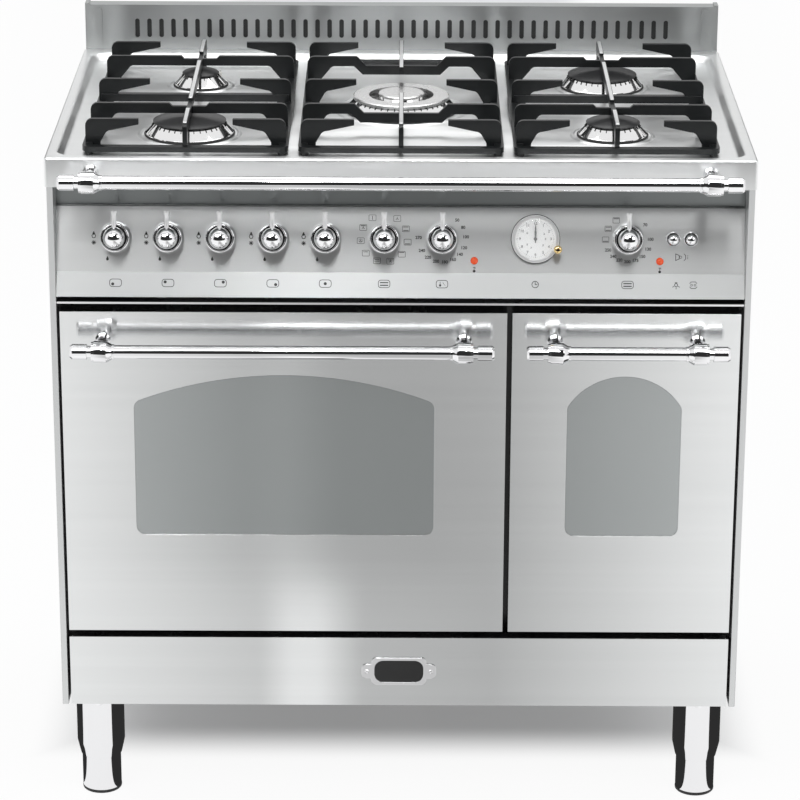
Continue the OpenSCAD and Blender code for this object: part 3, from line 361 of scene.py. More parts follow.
def cast_iron():
    """Black enamelled iron, with a highlight painted along the tops of the long fins."""
    made, tree, shader = new_finish("cast_iron", (0.01, 0.011, 0.012), 0.0, 0.35)
    pits = add_group(tree, PITS, Size=650.0)
    skin = mix_color(tree, pits["Patch"], (0.005, 0.006, 0.0065), (0.013, 0.0145, 0.015))
    gloss_between(tree, shader, pits["Patch"], 0.26, 0.4)
    bump_from(tree, shader, pits["Pits"], 0.25, 0.0003)
    # Painted highlight: the tops of the long fins turn to bright metal.
    place = object_xyz(tree)
    side = add_math(tree, "ABSOLUTE", place["X"])
    outer = add_math(tree, "ABSOLUTE", add_math(tree, "SUBTRACT", side, FIN_X))
    on_fin = add_math(tree, "LESS_THAN", add_math(tree, "MINIMUM", side, outer), FIN_HALF)
    on_top = mapped(tree, place["Z"], HIGHLIGHT_START, HIGHLIGHT_FULL)
    fin_highlight = add_math(tree, "MULTIPLY", on_fin, on_top)
    set_inputs(tree, shader, {"Specular IOR Level": 0.3, "Metallic": fin_highlight,
                              "Base Color": mix_color(tree, fin_highlight, skin, (0.86, 0.87, 0.87))})
    return made


IRON = cast_iron()

# %% [markdown]
# ### The control panel
# It is folded from the same steel, and shade is painted on it. The upright band
# above its ledge, which lies in the worktop's shadow, is painted dark, and the strip
# under its lower crease is painted darker than the face. The height of a point decides which tone it gets.

# %% Finish the control panel
LEDGE_Z = 0.827
CREASE_Z = 0.746


def panel_steel():
    """Steel with painted shade: a dark band above the ledge and a darker strip under the crease."""
    made, tree, shader = new_finish("panel_steel", (0.7, 0.71, 0.71), 1.0, 0.25)
    smear_across(tree, shader, "X", 0.95)
    grain = add_group(tree, GRAIN, Stretch=ALONG_X)
    height = object_xyz(tree)["Z"]
    # Painted shade: dark on the band above the ledge, darker on the strip under the crease.
    above = add_math(tree, "GREATER_THAN", height, LEDGE_Z + 0.0004)
    below = add_math(tree, "LESS_THAN", height, CREASE_Z)
    face = mix_color(tree, grain["Broad"], (0.71, 0.72, 0.72), (0.78, 0.79, 0.79))
    strip = mix_color(tree, below, face, (0.5, 0.51, 0.51))
    tint_between(tree, shader, above, strip, (0.27, 0.285, 0.285))
    gloss_between(tree, shader, grain["Broad"], 0.28, 0.32)
    bump_from(tree, shader, grain["Grain"], 0.05, 0.0002)
    return made


PANEL_STEEL = panel_steel()
print("finishes:", len(bpy.data.materials))

# %% [markdown]
# ## Finishes for the solids
# Each solid keeps its shape and only gets its finish, by name.

# %% Dress the solids
def dress(finish, names):
    """Gives solids a finish."""
    for name in names.split():
        nodes[name].data.materials.clear()
        nodes[name].data.materials.append(finish)


dress(FRONT_STEEL, "door_left door_right kick_panel")
dress(HOB_STEEL, "worktop")
dress(GUARD_STEEL, "backguard")
dress(SIDE_STEEL, "side_panel_left side_panel_right")
dress(PANEL_STEEL, "fascia")
dress(BACK_STEEL, "back_panel")
dress(BLACK_ENAMEL, "base_frame front_frame")
dress(CHROME, "towel_rail handle_left handle_right legs foot_1 foot_2 foot_3 foot_4 blank_plate bezels")
dress(CHROME, "knob_1 knob_2 knob_3 knob_4 knob_5 knob_6 knob_7 knob_8 button_light button_spark")
dress(NICKEL, "clock_case")
dress(OVEN_ENAMEL, "oven_left oven_right tray_left fan_cover")
dress(WIRE, "rack_guides rack_left rack_right fan")
dress(DOOR_GLASS, "door_left_glass door_right_glass door_left_inner door_right_inner")
dress(CLEAR_GLASS, "clock_glass")
dress(PLASTIC, "switches cable_gland hour_hand minute_hand")
dress(BRASS, "gas_rail clock_knob")
dress(ORANGE, "pilot_lamps")
dress(ALUMINIUM, "burner_bowls burner_crowns wok_ring wok_plate")
dress(CAP_ENAMEL, "burner_caps")
dress(IRON, "grate_left grate_middle grate_right")

# %% [markdown]
# ## Softer edges
# A folded sheet or a casting never ends in a mathematically sharp edge, and the
# thin bright line along a rounded edge is what the eye reads as thickness. A copy
# of a solid's mesh is loose triangles, so it is merged and its flat faces joined
# first. Then a Bevel modifier rounds every edge sharper than thirty degrees.

# %% Make small tools for pieces
bodies = frame["record"]["behaviour"]["bodies"]
body_of = {member: body for body, members in bodies.items() for member in members}


def hosted(name, data):
    """An object for a mesh or a curve, linked to the scene."""
    made = bpy.data.objects.new(name, data)
    bpy.context.collection.objects.link(made)
    return made


def link_piece(name, mesh, finish, body="cooker"):
    """A finished mesh as an object that rides on a body."""
    mesh.materials.clear()
    mesh.materials.append(finish)
    made = hosted(name, mesh)
    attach(made, body)
    return made


def baked(host, name):
    """The mesh of an object with its modifiers applied. The object itself goes."""
    bpy.context.view_layer.update()
    graph = bpy.context.evaluated_depsgraph_get()
    mesh = bpy.data.meshes.new_from_object(host.evaluated_get(graph))
    mesh.name = name
    bpy.data.objects.remove(host)
    return mesh


def mesh_from(shape, name):
    """A bmesh as a new mesh. The bmesh is freed."""
    mesh = bpy.data.meshes.new(name)
    shape.to_mesh(mesh)
    shape.free()
    return mesh


def shape_of(*meshes):
    """A new bmesh with the faces of some meshes."""
    shape = bmesh.new()
    for mesh in meshes:
        shape.from_mesh(mesh)
    return shape


def shade_by_angle(mesh, degrees):
    """Smooth shading that breaks at edges sharper than the angle."""
    shape = shape_of(mesh)
    for face in shape.faces:
        face.smooth = True
    for edge in shape.edges:
        if len(edge.link_faces) == 2:
            edge.smooth = edge.calc_face_angle(0) < math.radians(degrees)
    shape.to_mesh(mesh)
    shape.free()


# %% Round the edges of a copy
MERGE = 2e-6
FLAT_DEGREES = 0.6
BEVEL_DEGREES = 30


def soften(node, radius, crease):
    """Replaces a solid by a copy with rounded edges. Folds sharper than the crease stay crisp."""
    shape = shape_of(nodes[node].data)
    bmesh.ops.remove_doubles(shape, verts=shape.verts, dist=MERGE)
    flat = math.radians(FLAT_DEGREES)
    bmesh.ops.dissolve_limit(shape, angle_limit=flat, verts=shape.verts, edges=shape.edges)
    mesh = mesh_from(shape, node + "_soft")
    shade_by_angle(mesh, crease)
    rough = hosted(node + "_rough", mesh)
    adjust(rough.modifiers.new("round", "BEVEL"), width=radius, segments=2, limit_method="ANGLE",
           angle_limit=math.radians(BEVEL_DEGREES), harden_normals=True, use_clamp_overlap=True)
    finish = nodes[node].data.materials[0]
    piece = link_piece(node + "_soft", baked(rough, node + "_soft"), finish, body_of[node])
    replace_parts(piece, node)


for radius, crease, names in (
        (0.0007, 35, "door_left door_right kick_panel"), (0.0007, 4, "fascia"), (0.0004, 35, "backguard"),
        (0.0006, 35, "side_panel_left side_panel_right"), (0.001, 35, "grate_left grate_middle grate_right"),
        (0.0004, 35, "towel_rail handle_left handle_right legs blank_plate"), (0.0003, 35, "clock_case")):
    for name in names.split():
        soften(name, radius, crease)
    print("softened:", names)

# %% [markdown]
# ## Lathed pieces
# Caps, cones, seals, posts and knobs are turned on a lathe or pressed round. A
# profile of radius and height points is spun about Z, as a turner would cut it.
# A closed profile makes a ring, and any other gets a flat face at both ends.

# %% Spin a profile
LATHED_CREASE = 40


def mm(points, x=0.0, y=0.0):
    """Points in millimetres from a place, as metres."""
    return [(x + px / 1000, y + py / 1000) for px, py in points]


def moved(x, y, z=0.0):
    """A matrix that moves a piece."""
    return Matrix.Translation((x, y, z))


def ring_of(radius, height, steps):
    """A level circle of points."""
    turns = [2 * math.pi * k / steps for k in range(steps)]
    return [Vector((radius * math.cos(a), radius * math.sin(a), height)) for a in turns]


def join_rings(shape, rings, close=False):
    """Quads between rings of equal length. Returns the rings of vertices."""
    made = [[shape.verts.new(point) for point in ring] for ring in rings]
    pairs = list(zip(made, made[1:]))
    if close:
        pairs.append((made[-1], made[0]))
    for low, high in pairs:
        for k in range(len(low)):
            n = (k + 1) % len(low)
            shape.faces.new((low[k], low[n], high[n], high[k]))
    return made


def cap_ends(shape, rings):
    """A face over the first ring of vertices and one over the last."""
    shape.faces.new(list(reversed(rings[0])))
    shape.faces.new(rings[-1])


def lathe(name, profile, steps, place, close=False):
    """A mesh spun about Z and then placed."""
    shape = bmesh.new()
    rings = join_rings(shape, [ring_of(r, z, steps) for r, z in profile], close)
    if not close:
        cap_ends(shape, rings)
    bmesh.ops.recalc_face_normals(shape, faces=shape.faces)
    bmesh.ops.transform(shape, matrix=place, verts=shape.verts)
    mesh = mesh_from(shape, name)
    shade_by_angle(mesh, LATHED_CREASE)
    return mesh


def join_piece(name, meshes, finish):
    """Several meshes as one piece."""
    shape = shape_of(*meshes)
    for mesh in meshes:
        bpy.data.meshes.remove(mesh)
    return link_piece(name, mesh_from(shape, name), finish)


def rounded(r, z, radius, start, end, steps=4):
    """Points of a small arc in a profile, in degrees."""
    angles = [math.radians(start + (end - start) * k / steps) for k in range(steps + 1)]
    return [(r + radius * math.cos(a), z + radius * math.sin(a)) for a in angles]


def rect_ring(x0, x1, y0, y1, radius, z, steps=8):
    """A rectangle with round corners as a ring of points."""
    points = []
    corners = ((x1 - radius, y0 + radius, -90), (x1 - radius, y1 - radius, 0),
               (x0 + radius, y1 - radius, 90), (x0 + radius, y0 + radius, 180))
    for cx, cy, start in corners:
        points += [Vector((x, y, z)) for x, y in rounded(cx, cy, radius, start, start + 90, steps)]
    return points


# %% [markdown]
# ### The worktop
# The worktop is pressed from one sheet: a skirt, a flat rim, and a pan with soft
# walls and a low collar round each burner. Rounded rectangles joined by quads
# make the walls, one flat face with five round holes makes the floor, and a
# Solidify modifier gives the sheet its thickness.

# %% Measure the worktop
worktop_low, worktop_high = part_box("worktop")
width = 0.9
sheet = 0.0014
fold = 0.003
skirt_corner = 0.0041
edge_y = worktop_low.y
rear_y = worktop_high.y
skirt_z = worktop_low.z
rim_z = worktop_high.z
pan_z = rim_z - 0.009
pan_sides = (-0.436, 0.436, edge_y + 0.015, edge_y + 0.554)
pan_corner = 0.024
# Each burner has its place, the radius of its foot and that of its cap.
burners = [((-0.275, edge_y + 0.152), 0.058, 0.0475), ((-0.275, edge_y + 0.406), 0.0365, 0.025),
           ((0.275, edge_y + 0.406), 0.056, 0.047), ((0.275, edge_y + 0.152), 0.0455, 0.035)]
middle_at = (0.0, edge_y + 0.279)
middle_foot = 0.075
stands = [(at, foot) for at, foot, _ in burners] + [(middle_at, middle_foot)]


def collar_reach(foot):
    """The outer radius of the collar round a burner's foot."""
    return foot + (0.013 if foot == middle_foot else 0.0095)


# %% Press the worktop
def edges_round(shape, ring):
    """The edges that join a ring of vertices."""
    return [shape.edges.get((vert, ring[(k + 1) % len(ring)])) for k, vert in enumerate(ring)]


def worktop_mesh():
    """Skirt, rim and pan in one run of rings, a collar round each burner, and the floor between."""
    shape = bmesh.new()
    half = width / 2
    skirt = [(0.0, skirt_z), (0.0, rim_z - fold)]
    skirt += [(fold - r, z) for r, z in rounded(0.0, rim_z - fold, fold, 18, 90)]
    rings = [rect_ring(d - half, half - d, edge_y + d, rear_y - d, skirt_corner - min(d, fold), z)
             for d, z in skirt]
    wall = mm([(3, 0), (1.5, -0.3), (0, -1.2), (-1.5, -2.8)], 0, rim_z)
    wall += mm([(-4.5, 3.2), (-6, 1.6), (-8, 0.5), (-10.5, 0)], 0, pan_z)
    x0, x1, y0, y1 = pan_sides
    rings += [rect_ring(x0 - e, x1 + e, y0 - e, y1 + e, pan_corner + e, z) for e, z in wall]
    edges = edges_round(shape, join_rings(shape, rings)[-1])
    for (cx, cy), foot in stands:
        collar = mm([(0, 0), (-0.5, 0.3), (-2, 1.6), (-2.7, 1.9), (-3.6, 1.9), (-5, 1.1), (-6.2, 0.9)],
                    collar_reach(foot), pan_z) + mm([(-8, 0.9)], foot, pan_z)
        loops = [[p + Vector((cx, cy, 0)) for p in ring_of(r, z, 72)] for r, z in collar]
        edges += edges_round(shape, join_rings(shape, loops)[0])
    bmesh.ops.triangle_fill(shape, use_beauty=True, edges=edges)
    bmesh.ops.recalc_face_normals(shape, faces=shape.faces)
    if max(shape.faces, key=lambda f: f.calc_area()).normal.z < 0:
        bmesh.ops.reverse_faces(shape, faces=shape.faces)
    return mesh_from(shape, "worktop_pressed")


rough = hosted("worktop_rough", worktop_mesh())
adjust(rough.modifiers.new("sheet", "SOLIDIFY"), thickness=sheet, offset=-1)
pressed = baked(rough, "worktop_pressed")
shade_by_angle(pressed, LATHED_CREASE)
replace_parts(link_piece("worktop_pressed", pressed, HOB_STEEL), "worktop")
print("worktop:", len(pressed.polygons), "faces")

# %% [markdown]
# ### Burners
# Each burner is a bright cone with a row of small ports under its edge, and a
# satin black cap on top. Cones and caps are lathed. The ports repeat by a rule,
# so Geometry Nodes set them on a circle.

# %% Turn the caps and cones
crown_z = pan_z + 0.003
cap_z = rim_z + 0.0085
cap_over = 0.003
middle_top = 0.061
inner_foot, inner_top, inner_up = 0.0335, 0.0285, 0.004


def cap_profile(radius):
    """A thin cap with a low dome and a rim underneath."""
    steps = [k / 12.0 for k in range(1, 12)]
    dome = [(radius * (1 - s), 0.002 + 0.006 * (1 - (1 - s) ** 2)) for s in steps]
    rim = mm([(-8.5, -4), (-8.5, 0), (-0.8, 0), (0, 0.7), (0, 1.4)], radius)
    return rim + dome + [(radius * 0.02, 0.008)]


def cone_profile(foot, top, height):
    """A cone with a rolled foot, open at the top."""
    rolled = mm([(-12, 0), (-1.2, 0), (-0.4, 0.6), (-0.6, 1.4), (-1.8, 2.2)], foot)
    return rolled + mm([(1.2, -1.2), (0, 0), (-6, 0), (-6, -2)], top, height)


def seal_profile(foot):
    """The black seal on which a burner stands."""
    return mm([(-12, 1), (0.9, 1), (1.1, 2.2), (0.4, 3.4), (-12, 3.4)], foot)


def bead_profile(reach):
    """The pressed bead round a collar."""
    return mm([(-6.2, 0), (-5.2, 1.3), (-3.8, 2.2), (-2.2, 1.9), (-0.6, 0.8), (0.3, 0)], reach)


seals = []
beads = []
for (cx, cy), foot in stands:
    steps = 128 if foot == middle_foot else 96
    seals.append(lathe("seal", seal_profile(foot), steps, moved(cx, cy, pan_z), True))
    beads.append(lathe("bead", bead_profile(collar_reach(foot)), steps, moved(cx, cy, pan_z), True))
join_piece("collar_beads", beads, HOB_STEEL)
join_piece("burner_seals", seals, RUBBER)
caps = []
cones = []
for (cx, cy), foot, cap in burners:
    caps.append(lathe("cap", cap_profile(cap), 96, moved(cx, cy, cap_z)))
    cone = cone_profile(foot, cap - cap_over, cap_z - crown_z)
    cones.append(lathe("cone", cone, 96, moved(cx, cy, crown_z), True))
for foot, top, height, steps in ((middle_foot, middle_top, cap_z - crown_z, 128),
                                 (inner_foot, inner_top, cap_z + inner_up - crown_z, 96)):
    cones.append(lathe("cone", cone_profile(foot, top, height), steps, moved(*middle_at, crown_z), True))
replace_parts(join_piece("caps_domed", caps, CAP_ENAMEL), "burner_caps")
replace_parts(join_piece("cones_turned", cones, CROWN_CHROME), "burner_crowns")
print("caps:", len(caps), "cones:", len(cones))

# %% Make geometry trees
def new_tree(name, inputs):
    """A geometry tree with named inputs and a finish."""
    ends = [("Geometry", "Geometry")]
    return new_group(name, "GeometryNodeTree", ends + inputs + [("Finish", "Material")], ends)


def end_tree(tree, geometry, start, end):
    """Realize Instances and Set Material close every tree."""
    real = add_node(tree, "GeometryNodeRealizeInstances", {"Geometry": geometry}).outputs["Geometry"]
    dressed = add_node(tree, "GeometryNodeSetMaterial", {"Geometry": real, "Material": start["Finish"]})
    set_inputs(tree, end, {"Geometry": dressed.outputs["Geometry"]})
    return tree


def grow(name, tree, values, finish, place=Matrix.Identity(4), points=()):
    """Runs a tree on a small mesh of points and keeps the result as a plain mesh."""
    values["Finish"] = finish
    seed = bpy.data.meshes.new(name + "_points")
    seed.from_pydata([Vector(p) for p in points], [], [])
    host = hosted(name + "_host", seed)
    modifier = host.modifiers.new(name, "NODES")
    modifier.node_group = tree
    for item in tree.interface.items_tree:
        if item.in_out == "INPUT" and item.name in values:
            modifier[item.identifier] = values[item.name]
    mesh = baked(host, name)
    mesh.transform(place)
    return link_piece(name, mesh, finish)


# %% Set the ports by Geometry Nodes
def port_tree():
    """Small blocks set upright on a circle, leaning with the cone."""
    tree, start, end = new_tree("ports", [("Count", "Int", 30), ("Radius", "Float", 0.05),
                                          ("Size", "Vector", (0.001, 0.001, 0.001)), ("Lean", "Float", 0.0)])
    circle = add_node(tree, "GeometryNodeMeshCircle",
                      {"Vertices": start["Count"], "Radius": start["Radius"]})
    block = add_node(tree, "GeometryNodeMeshCube", {"Size": start["Size"]})
    step = add_math(tree, "DIVIDE", 2 * math.pi, start["Count"])
    index = tree.nodes.new("GeometryNodeInputIndex").outputs[0]
    angle = add_math(tree, "MULTIPLY", step, index)
    turn = add_node(tree, "ShaderNodeCombineXYZ", {"Z": angle, "Y": start["Lean"]})
    spread = add_node(tree, "GeometryNodeInstanceOnPoints", {
        "Points": circle.outputs["Mesh"], "Instance": block.outputs["Mesh"], "Rotation": turn.outputs[0]})
    return end_tree(tree, spread.outputs["Instances"], start, end)


PORTS = port_tree()
PORTS_PER_METRE = 760


def circle_of(name, count, radius, size, lean, place, finish=BLACK_ENAMEL):
    """Blocks on a circle, as one piece."""
    grow(name, PORTS, {"Count": count, "Radius": radius, "Size": size, "Lean": lean}, finish, place)


for i, ((cx, cy), foot, cap) in enumerate(burners):
    top = cap - cap_over
    lean = math.atan2(foot - top, cap_z - crown_z)
    count = round(cap * PORTS_PER_METRE)
    circle_of("ports_%d" % (i + 1), count, top + 0.0026, (0.0012, 0.0009, 0.005), -lean,
              moved(cx, cy, cap_z - 0.0024))
circle_of("ports_middle", 44, 0.0632, (0.0012, 0.0012, 0.0036), -0.72, moved(*middle_at, cap_z - 0.0019))
circle_of("ports_inner", 24, 0.0292, (0.0008, 0.0008, 0.003), -0.3, moved(*middle_at, cap_z + 0.002))

# %% [markdown]
# ### Spark electrodes and flame sensors
# Beside each burner stand a white ceramic spark electrode and a slim steel flame
# sensor. They are lathed in one go, from their collar in the pan to their tip.

# %% Stand the electrodes
post_degrees = 38
post_gap = 0.0042
sparks = []
sensors = []
for (cx, cy), foot in stands:
    for side, store, thick, tall in ((-1, sparks, 0.0028, 0.0135), (1, sensors, 0.002, 0.0125)):
        a = math.radians(90 + side * post_degrees)
        reach = foot + post_gap
        spot = moved(cx + reach * math.cos(a), cy + reach * math.sin(a), pan_z + 0.0004)
        outline = mm([(1.2, 0), (1.2, 1.5), (0, 2.2)], thick) + [
            (thick, tall * 0.72), (thick * 0.7, tall * 0.78), (0.0007, tall * 0.8), (0.0006, tall)]
        store.append(lathe("post", outline, 20, spot))
join_piece("spark_electrodes", sparks, CERAMIC)
join_piece("flame_sensors", sensors, WIRE)
print("electrodes:", len(sparks), "sensors:", len(sensors))

# %% [markdown]
# ## The control panel's print
# Symbols and figures are printed in dark ink. They lie on the leaning face, so
# one function gives the matrix that puts anything drawn flat onto it. Strokes are
# thin slabs along a path, and the figures are Blender's own text made into a mesh.

# %% Find the panel's faces
panel_tilt = math.radians(15)
strip_tilt = math.radians(22)
row_y, row_z = -0.243991, 0.7885
strip_z = 0.7328
strip_foot_z = 0.716
strip_y = edge_y + 0.003 + (strip_z - strip_foot_z) * math.tan(strip_tilt)
knob_x = [width * (-0.4044 + 0.0744 * i) for i in range(5)] + [width * f for f in (-0.0233, 0.0589, 0.3222)]
selector_x, large_x, small_x = knob_x[5:]
clock_x = width * 0.1911
button_x = [width * 0.3867, width * 0.4117]
lamp_x = [width * 0.1044, width * 0.3678]


def leaning(origin, tilt):
    """A matrix whose X runs along the panel, Y up along it, and Z out of it."""
    up = Vector((0, math.sin(tilt), math.cos(tilt)))
    out = Vector((0, -math.cos(tilt), math.sin(tilt)))
    turn = Matrix((Vector((1, 0, 0)), up, out)).transposed()
    return Matrix.Translation(origin) @ turn.to_4x4()


def on_panel(x, up=0.0, out=0.0):
    """A place on the face, measured from the row of knobs."""
    return leaning((x, row_y, row_z), panel_tilt) @ moved(0, up, out)


def on_strip(x):
    """A place on the lower strip."""
    return leaning((x, strip_y, strip_z), strip_tilt)


def clockwise(degrees, radius):
    """A place round a knob, measured clockwise from the top."""
    a = math.radians(degrees)
    return radius * math.sin(a), radius * math.cos(a)


def around(x, degrees, radius, out=0.0):
    """A place on the panel, clockwise round a knob."""
    dx, dy = clockwise(degrees, radius)
    return on_panel(x + dx, dy, out)


# %% Draw with strokes
ink_shape = bmesh.new()
INK_LOW = 0.00001
INK_DEEP = 0.00012
THIN = 0.5
MEDIUM = 0.8
THICK = 0.9


def slab(place, points):
    """A thin closed slab over an outline in millimetres, a hair above the panel."""
    layers = [[place @ Vector((x, y, z)) for x, y in mm(points)] for z in (INK_LOW, INK_DEEP)]
    cap_ends(ink_shape, join_rings(ink_shape, layers))


def stroke(place, points, thick=0.7, close=False):
    """Slabs along a path."""
    path = list(points) + ([points[0]] if close else [])
    for (ax, ay), (bx, by) in zip(path, path[1:]):
        length = math.hypot(bx - ax, by - ay)
        dx, dy = (bx - ax) / length, (by - ay) / length
        h = thick / 2
        ax, ay, bx, by = ax - dx * h, ay - dy * h, bx + dx * h, by + dy * h
        slab(place, [(ax + dy * h, ay - dx * h), (bx + dy * h, by - dx * h), (bx - dy * h, by + dx * h),
                     (ax - dy * h, ay + dx * h)])


def disc(place, x, y, radius, steps=14):
    """A filled circle."""
    slab(place, [(x + p.x, y + p.y) for p in ring_of(radius, 0, steps)])


def polygon(sides, radius, x=0.0, y=0.0):
    """The corners of a regular figure."""
    corners = [clockwise(360 * j / sides, radius) for j in range(sides)]
    return [(x + dx, y + dy) for dx, dy in corners]


def frame_box(place, w, h, r, thick):
    """The outline of a box with round corners."""
    stroke(place, [(p.x, p.y) for p in rect_ring(-w, w, -h, h, r, 0, 3)], thick, True)


def flame(place, tall, solid=True):
    """A drop with a pointed top."""
    side = [(0.0, 0.5), (0.16, 0.18), (0.3, -0.16), (0.2, -0.44), (0.0, -0.5)]
    right = [(x * tall, y * tall) for x, y in side]
    left = [(-x, y) for x, y in reversed(right[1:-1])]
    if solid:
        slab(place, list(reversed(right + left)))
    else:
        stroke(place, right + left, THICK, True)


def spark(place, radius):
    """Four lines that cross."""
    for k in range(4):
        x, y = clockwise(45 * k, radius)
        stroke(place, [(-x, -y), (x, y)], THICK)


# %% [markdown]
# ### Symbols round the gas knobs
# A large flame with a spark stands to the left of each gas knob, and a small
# flame below it. The strip underneath shows which burner a knob serves.

# %% Print the gas symbols
flame_x = 0.0278
burner_dots = [(-3.6, -1.5), (-3.6, 1.4), (3.6, 1.4), (3.6, -1.5), (0, 0)]
for x, dot in zip(knob_x[:5], burner_dots):
    beside = on_panel(x - flame_x, 0.003)
    flame(beside, 7.8, False)
    stroke(beside, [(0, 3.4), (0, 0.6)], 1.6)
    spark(on_panel(x - flame_x, -0.0068), 2.5)
    flame(on_panel(x - 0.0105, -0.0268), 6.0)
    frame_box(on_strip(x), 7.6, 4.8, 3.4, MEDIUM)
    disc(on_strip(x), *dot, 2.0)
print("ink faces:", len(ink_shape.faces))

# %% [markdown]
# ### Symbols and figures round the oven knobs
# Ten small pictures of the oven's functions ring the selector, thirty-three
# degrees apart, and three stand beside the last knob. The two thermostats have
# plain temperatures.

# %% Print the function symbols
def draw_mark(place, mark, bar_y):
    """One sign in a box. Straight bars lie near its top or bottom."""
    if mark in ("top", "bottom"):
        y = bar_y if mark == "top" else -bar_y
        stroke(place, [(-2.9, y), (2.9, y)], THICK)
    elif mark == "wavy":
        stroke(place, [(-2.8, 2.2), (-1.4, 1.3), (0, 2.2), (1.4, 1.3), (2.8, 2.2)], THIN)
    elif mark == "fan":
        for tip in polygon(3, 1.6, 0, -0.3):
            stroke(place, [(0, -0.3), tip])
    elif mark == "ring":
        stroke(place, polygon(6, 2.4), 0.3, True)
    elif mark == "spit":
        stroke(place, [(-3, -1), (3, -1)], 0.4)
    else:
        stroke(place, [(0, -2.2), (0, 2.2)])


functions = ["fan", "top bottom", "bottom", "top", "wavy fan", "wavy spit", "wavy", "fan ring", "fan top",
             "lamp"]
selector_signs = [(33 * (k + 1), marks) for k, marks in enumerate(functions)]
small_signs = [(269, "bottom"), (298, "top bottom"), (328, "top")]
for x, radius, half_w, half_h, bar_y, signs in ((selector_x, 0.0302, 4.5, 3.7, 2.3, selector_signs),
                                                (small_x, 0.0285, 4.2, 3.5, 2.1, small_signs)):
    for degrees, marks in signs:
        frame_box(around(x, degrees, radius), half_w, half_h, 1.0, THIN)
        for mark in marks.split():
            draw_mark(around(x, degrees, radius), mark, bar_y)

# %% Print the figures
LETTER_SIZE = 1.4
LETTER_BOLD = 0.00016


def figure_mesh(text, place, height):
    """A figure as a thin closed mesh, centred on its place."""
    curve = bpy.data.curves.new("figure", "FONT")
    adjust(curve, body=text, size=height * LETTER_SIZE, align_x="CENTER", align_y="CENTER",
           extrude=INK_DEEP / 2, offset=LETTER_BOLD, resolution_u=3)
    mesh = baked(hosted("figure", curve), "figure")
    bpy.data.curves.remove(curve)
    mesh.transform(place @ moved(0, 0, INK_DEEP / 2 + INK_LOW))
    return mesh


large_marks = [("50", 39), ("80", 62), ("100", 86), ("120", 113), ("140", 132), ("160", 153), ("180", 174),
               ("200", 195), ("220", 217), ("240", 239), ("270", 272)]
small_marks = [("70", 50), ("100", 90), ("130", 116), ("150", 140), ("175", 160), ("200", 181), ("220", 202),
               ("240", 220), ("250", 241)]
figures = [figure_mesh(text, around(x, degrees, radius), 0.0039)
           for x, radius, marks in ((large_x, 0.0302, large_marks), (small_x, 0.0287, small_marks))
           for text, degrees in marks]
join_piece("panel_figures", figures, INK)
print("figures:", len(figures))

# %% [markdown]
# ### The lower strip and the small marks
# The strip repeats what each oven control does: two bars for the ovens, a
# thermometer, a clock face, a lamp and a spark. Thermometers stand under the
# pilot lamps, and a bell between the two buttons.

# %% Print the strip
def thermometer(place, tall):
    """A stem and its bulb."""
    stroke(place, [(0, tall * 0.5), (0, -tall * 0.2)])
    disc(place, 0, -tall * 0.3, tall * 0.27)


for x in (selector_x, large_x, small_x):
    frame_box(on_strip(x), 7.4, 4.8, 3.2, MEDIUM)
for x in (selector_x, small_x):
    for y in (1.6, -1.8):
        stroke(on_strip(x), [(-4.6, y), (4.6, y)], 1.4)
thermometer(on_strip(large_x - 0.0024), 5.5)
stroke(on_strip(large_x), [(1, 2), (3.8, -1.8)], THIN)
stroke(on_strip(clock_x), polygon(12, 4.2), THICK, True)
stroke(on_strip(clock_x), [(0, 2.6), (0, 0), (2.2, 0)], THICK)
for x in lamp_x:
    thermometer(on_panel(x, -0.0395), 6.6)
    stroke(on_panel(x, -0.0375), [(-1.4, 1), (1.4, 1), (1.4, -0.6)], 0.6)

# %% Print the marks of the buttons
lamp_spot = on_strip(button_x[0] + 0.004)
stroke(lamp_spot, polygon(8, 2.1), MEDIUM, True)
stroke(lamp_spot, [(-1, 3), (1, 3)], 1.1)
for degrees in (120, 180, 240):
    stroke(lamp_spot, [clockwise(degrees, 3.3), clockwise(degrees, 5.0)], MEDIUM)
spark_spot = on_strip(button_x[1] + 0.0035)
for near, far in ((-2.2, -4.2), (2.2, 4.2)):
    stroke(spark_spot, [(-4.5, near), (-2.8, far), (2.8, far), (4.5, near)], MEDIUM)
    stroke(spark_spot, polygon(6, 1.3, near), 0.6, True)
bell = on_panel((button_x[0] + button_x[1]) / 2 - 0.0045, -0.0225)
stroke(bell, [(-3.5, 4.2), (-3.5, -4.2), (1, -2.2), (1, 2.2)], MEDIUM, True)
stroke(bell, polygon(6, 1.6, 2.8), THIN, True)
stroke(bell, [(7.2, 4.2), (9.2, 2.2), (9.2, -2.2), (7.2, -4.2)])
for y in (-1.8, 0, 1.8):
    disc(bell, 11.8, y, 0.5, 8)
print("print faces:", len(ink_shape.faces))
link_piece("panel_print", mesh_from(ink_shape, "panel_print"), INK)

# %% [markdown]
# ## The clock
# Under its glass the clock has a white dial with twelve numerals, an inner ring
# of smaller ones and a minute track. The track repeats by a rule, so it is a
# Geometry Nodes tree, and the numerals are text.

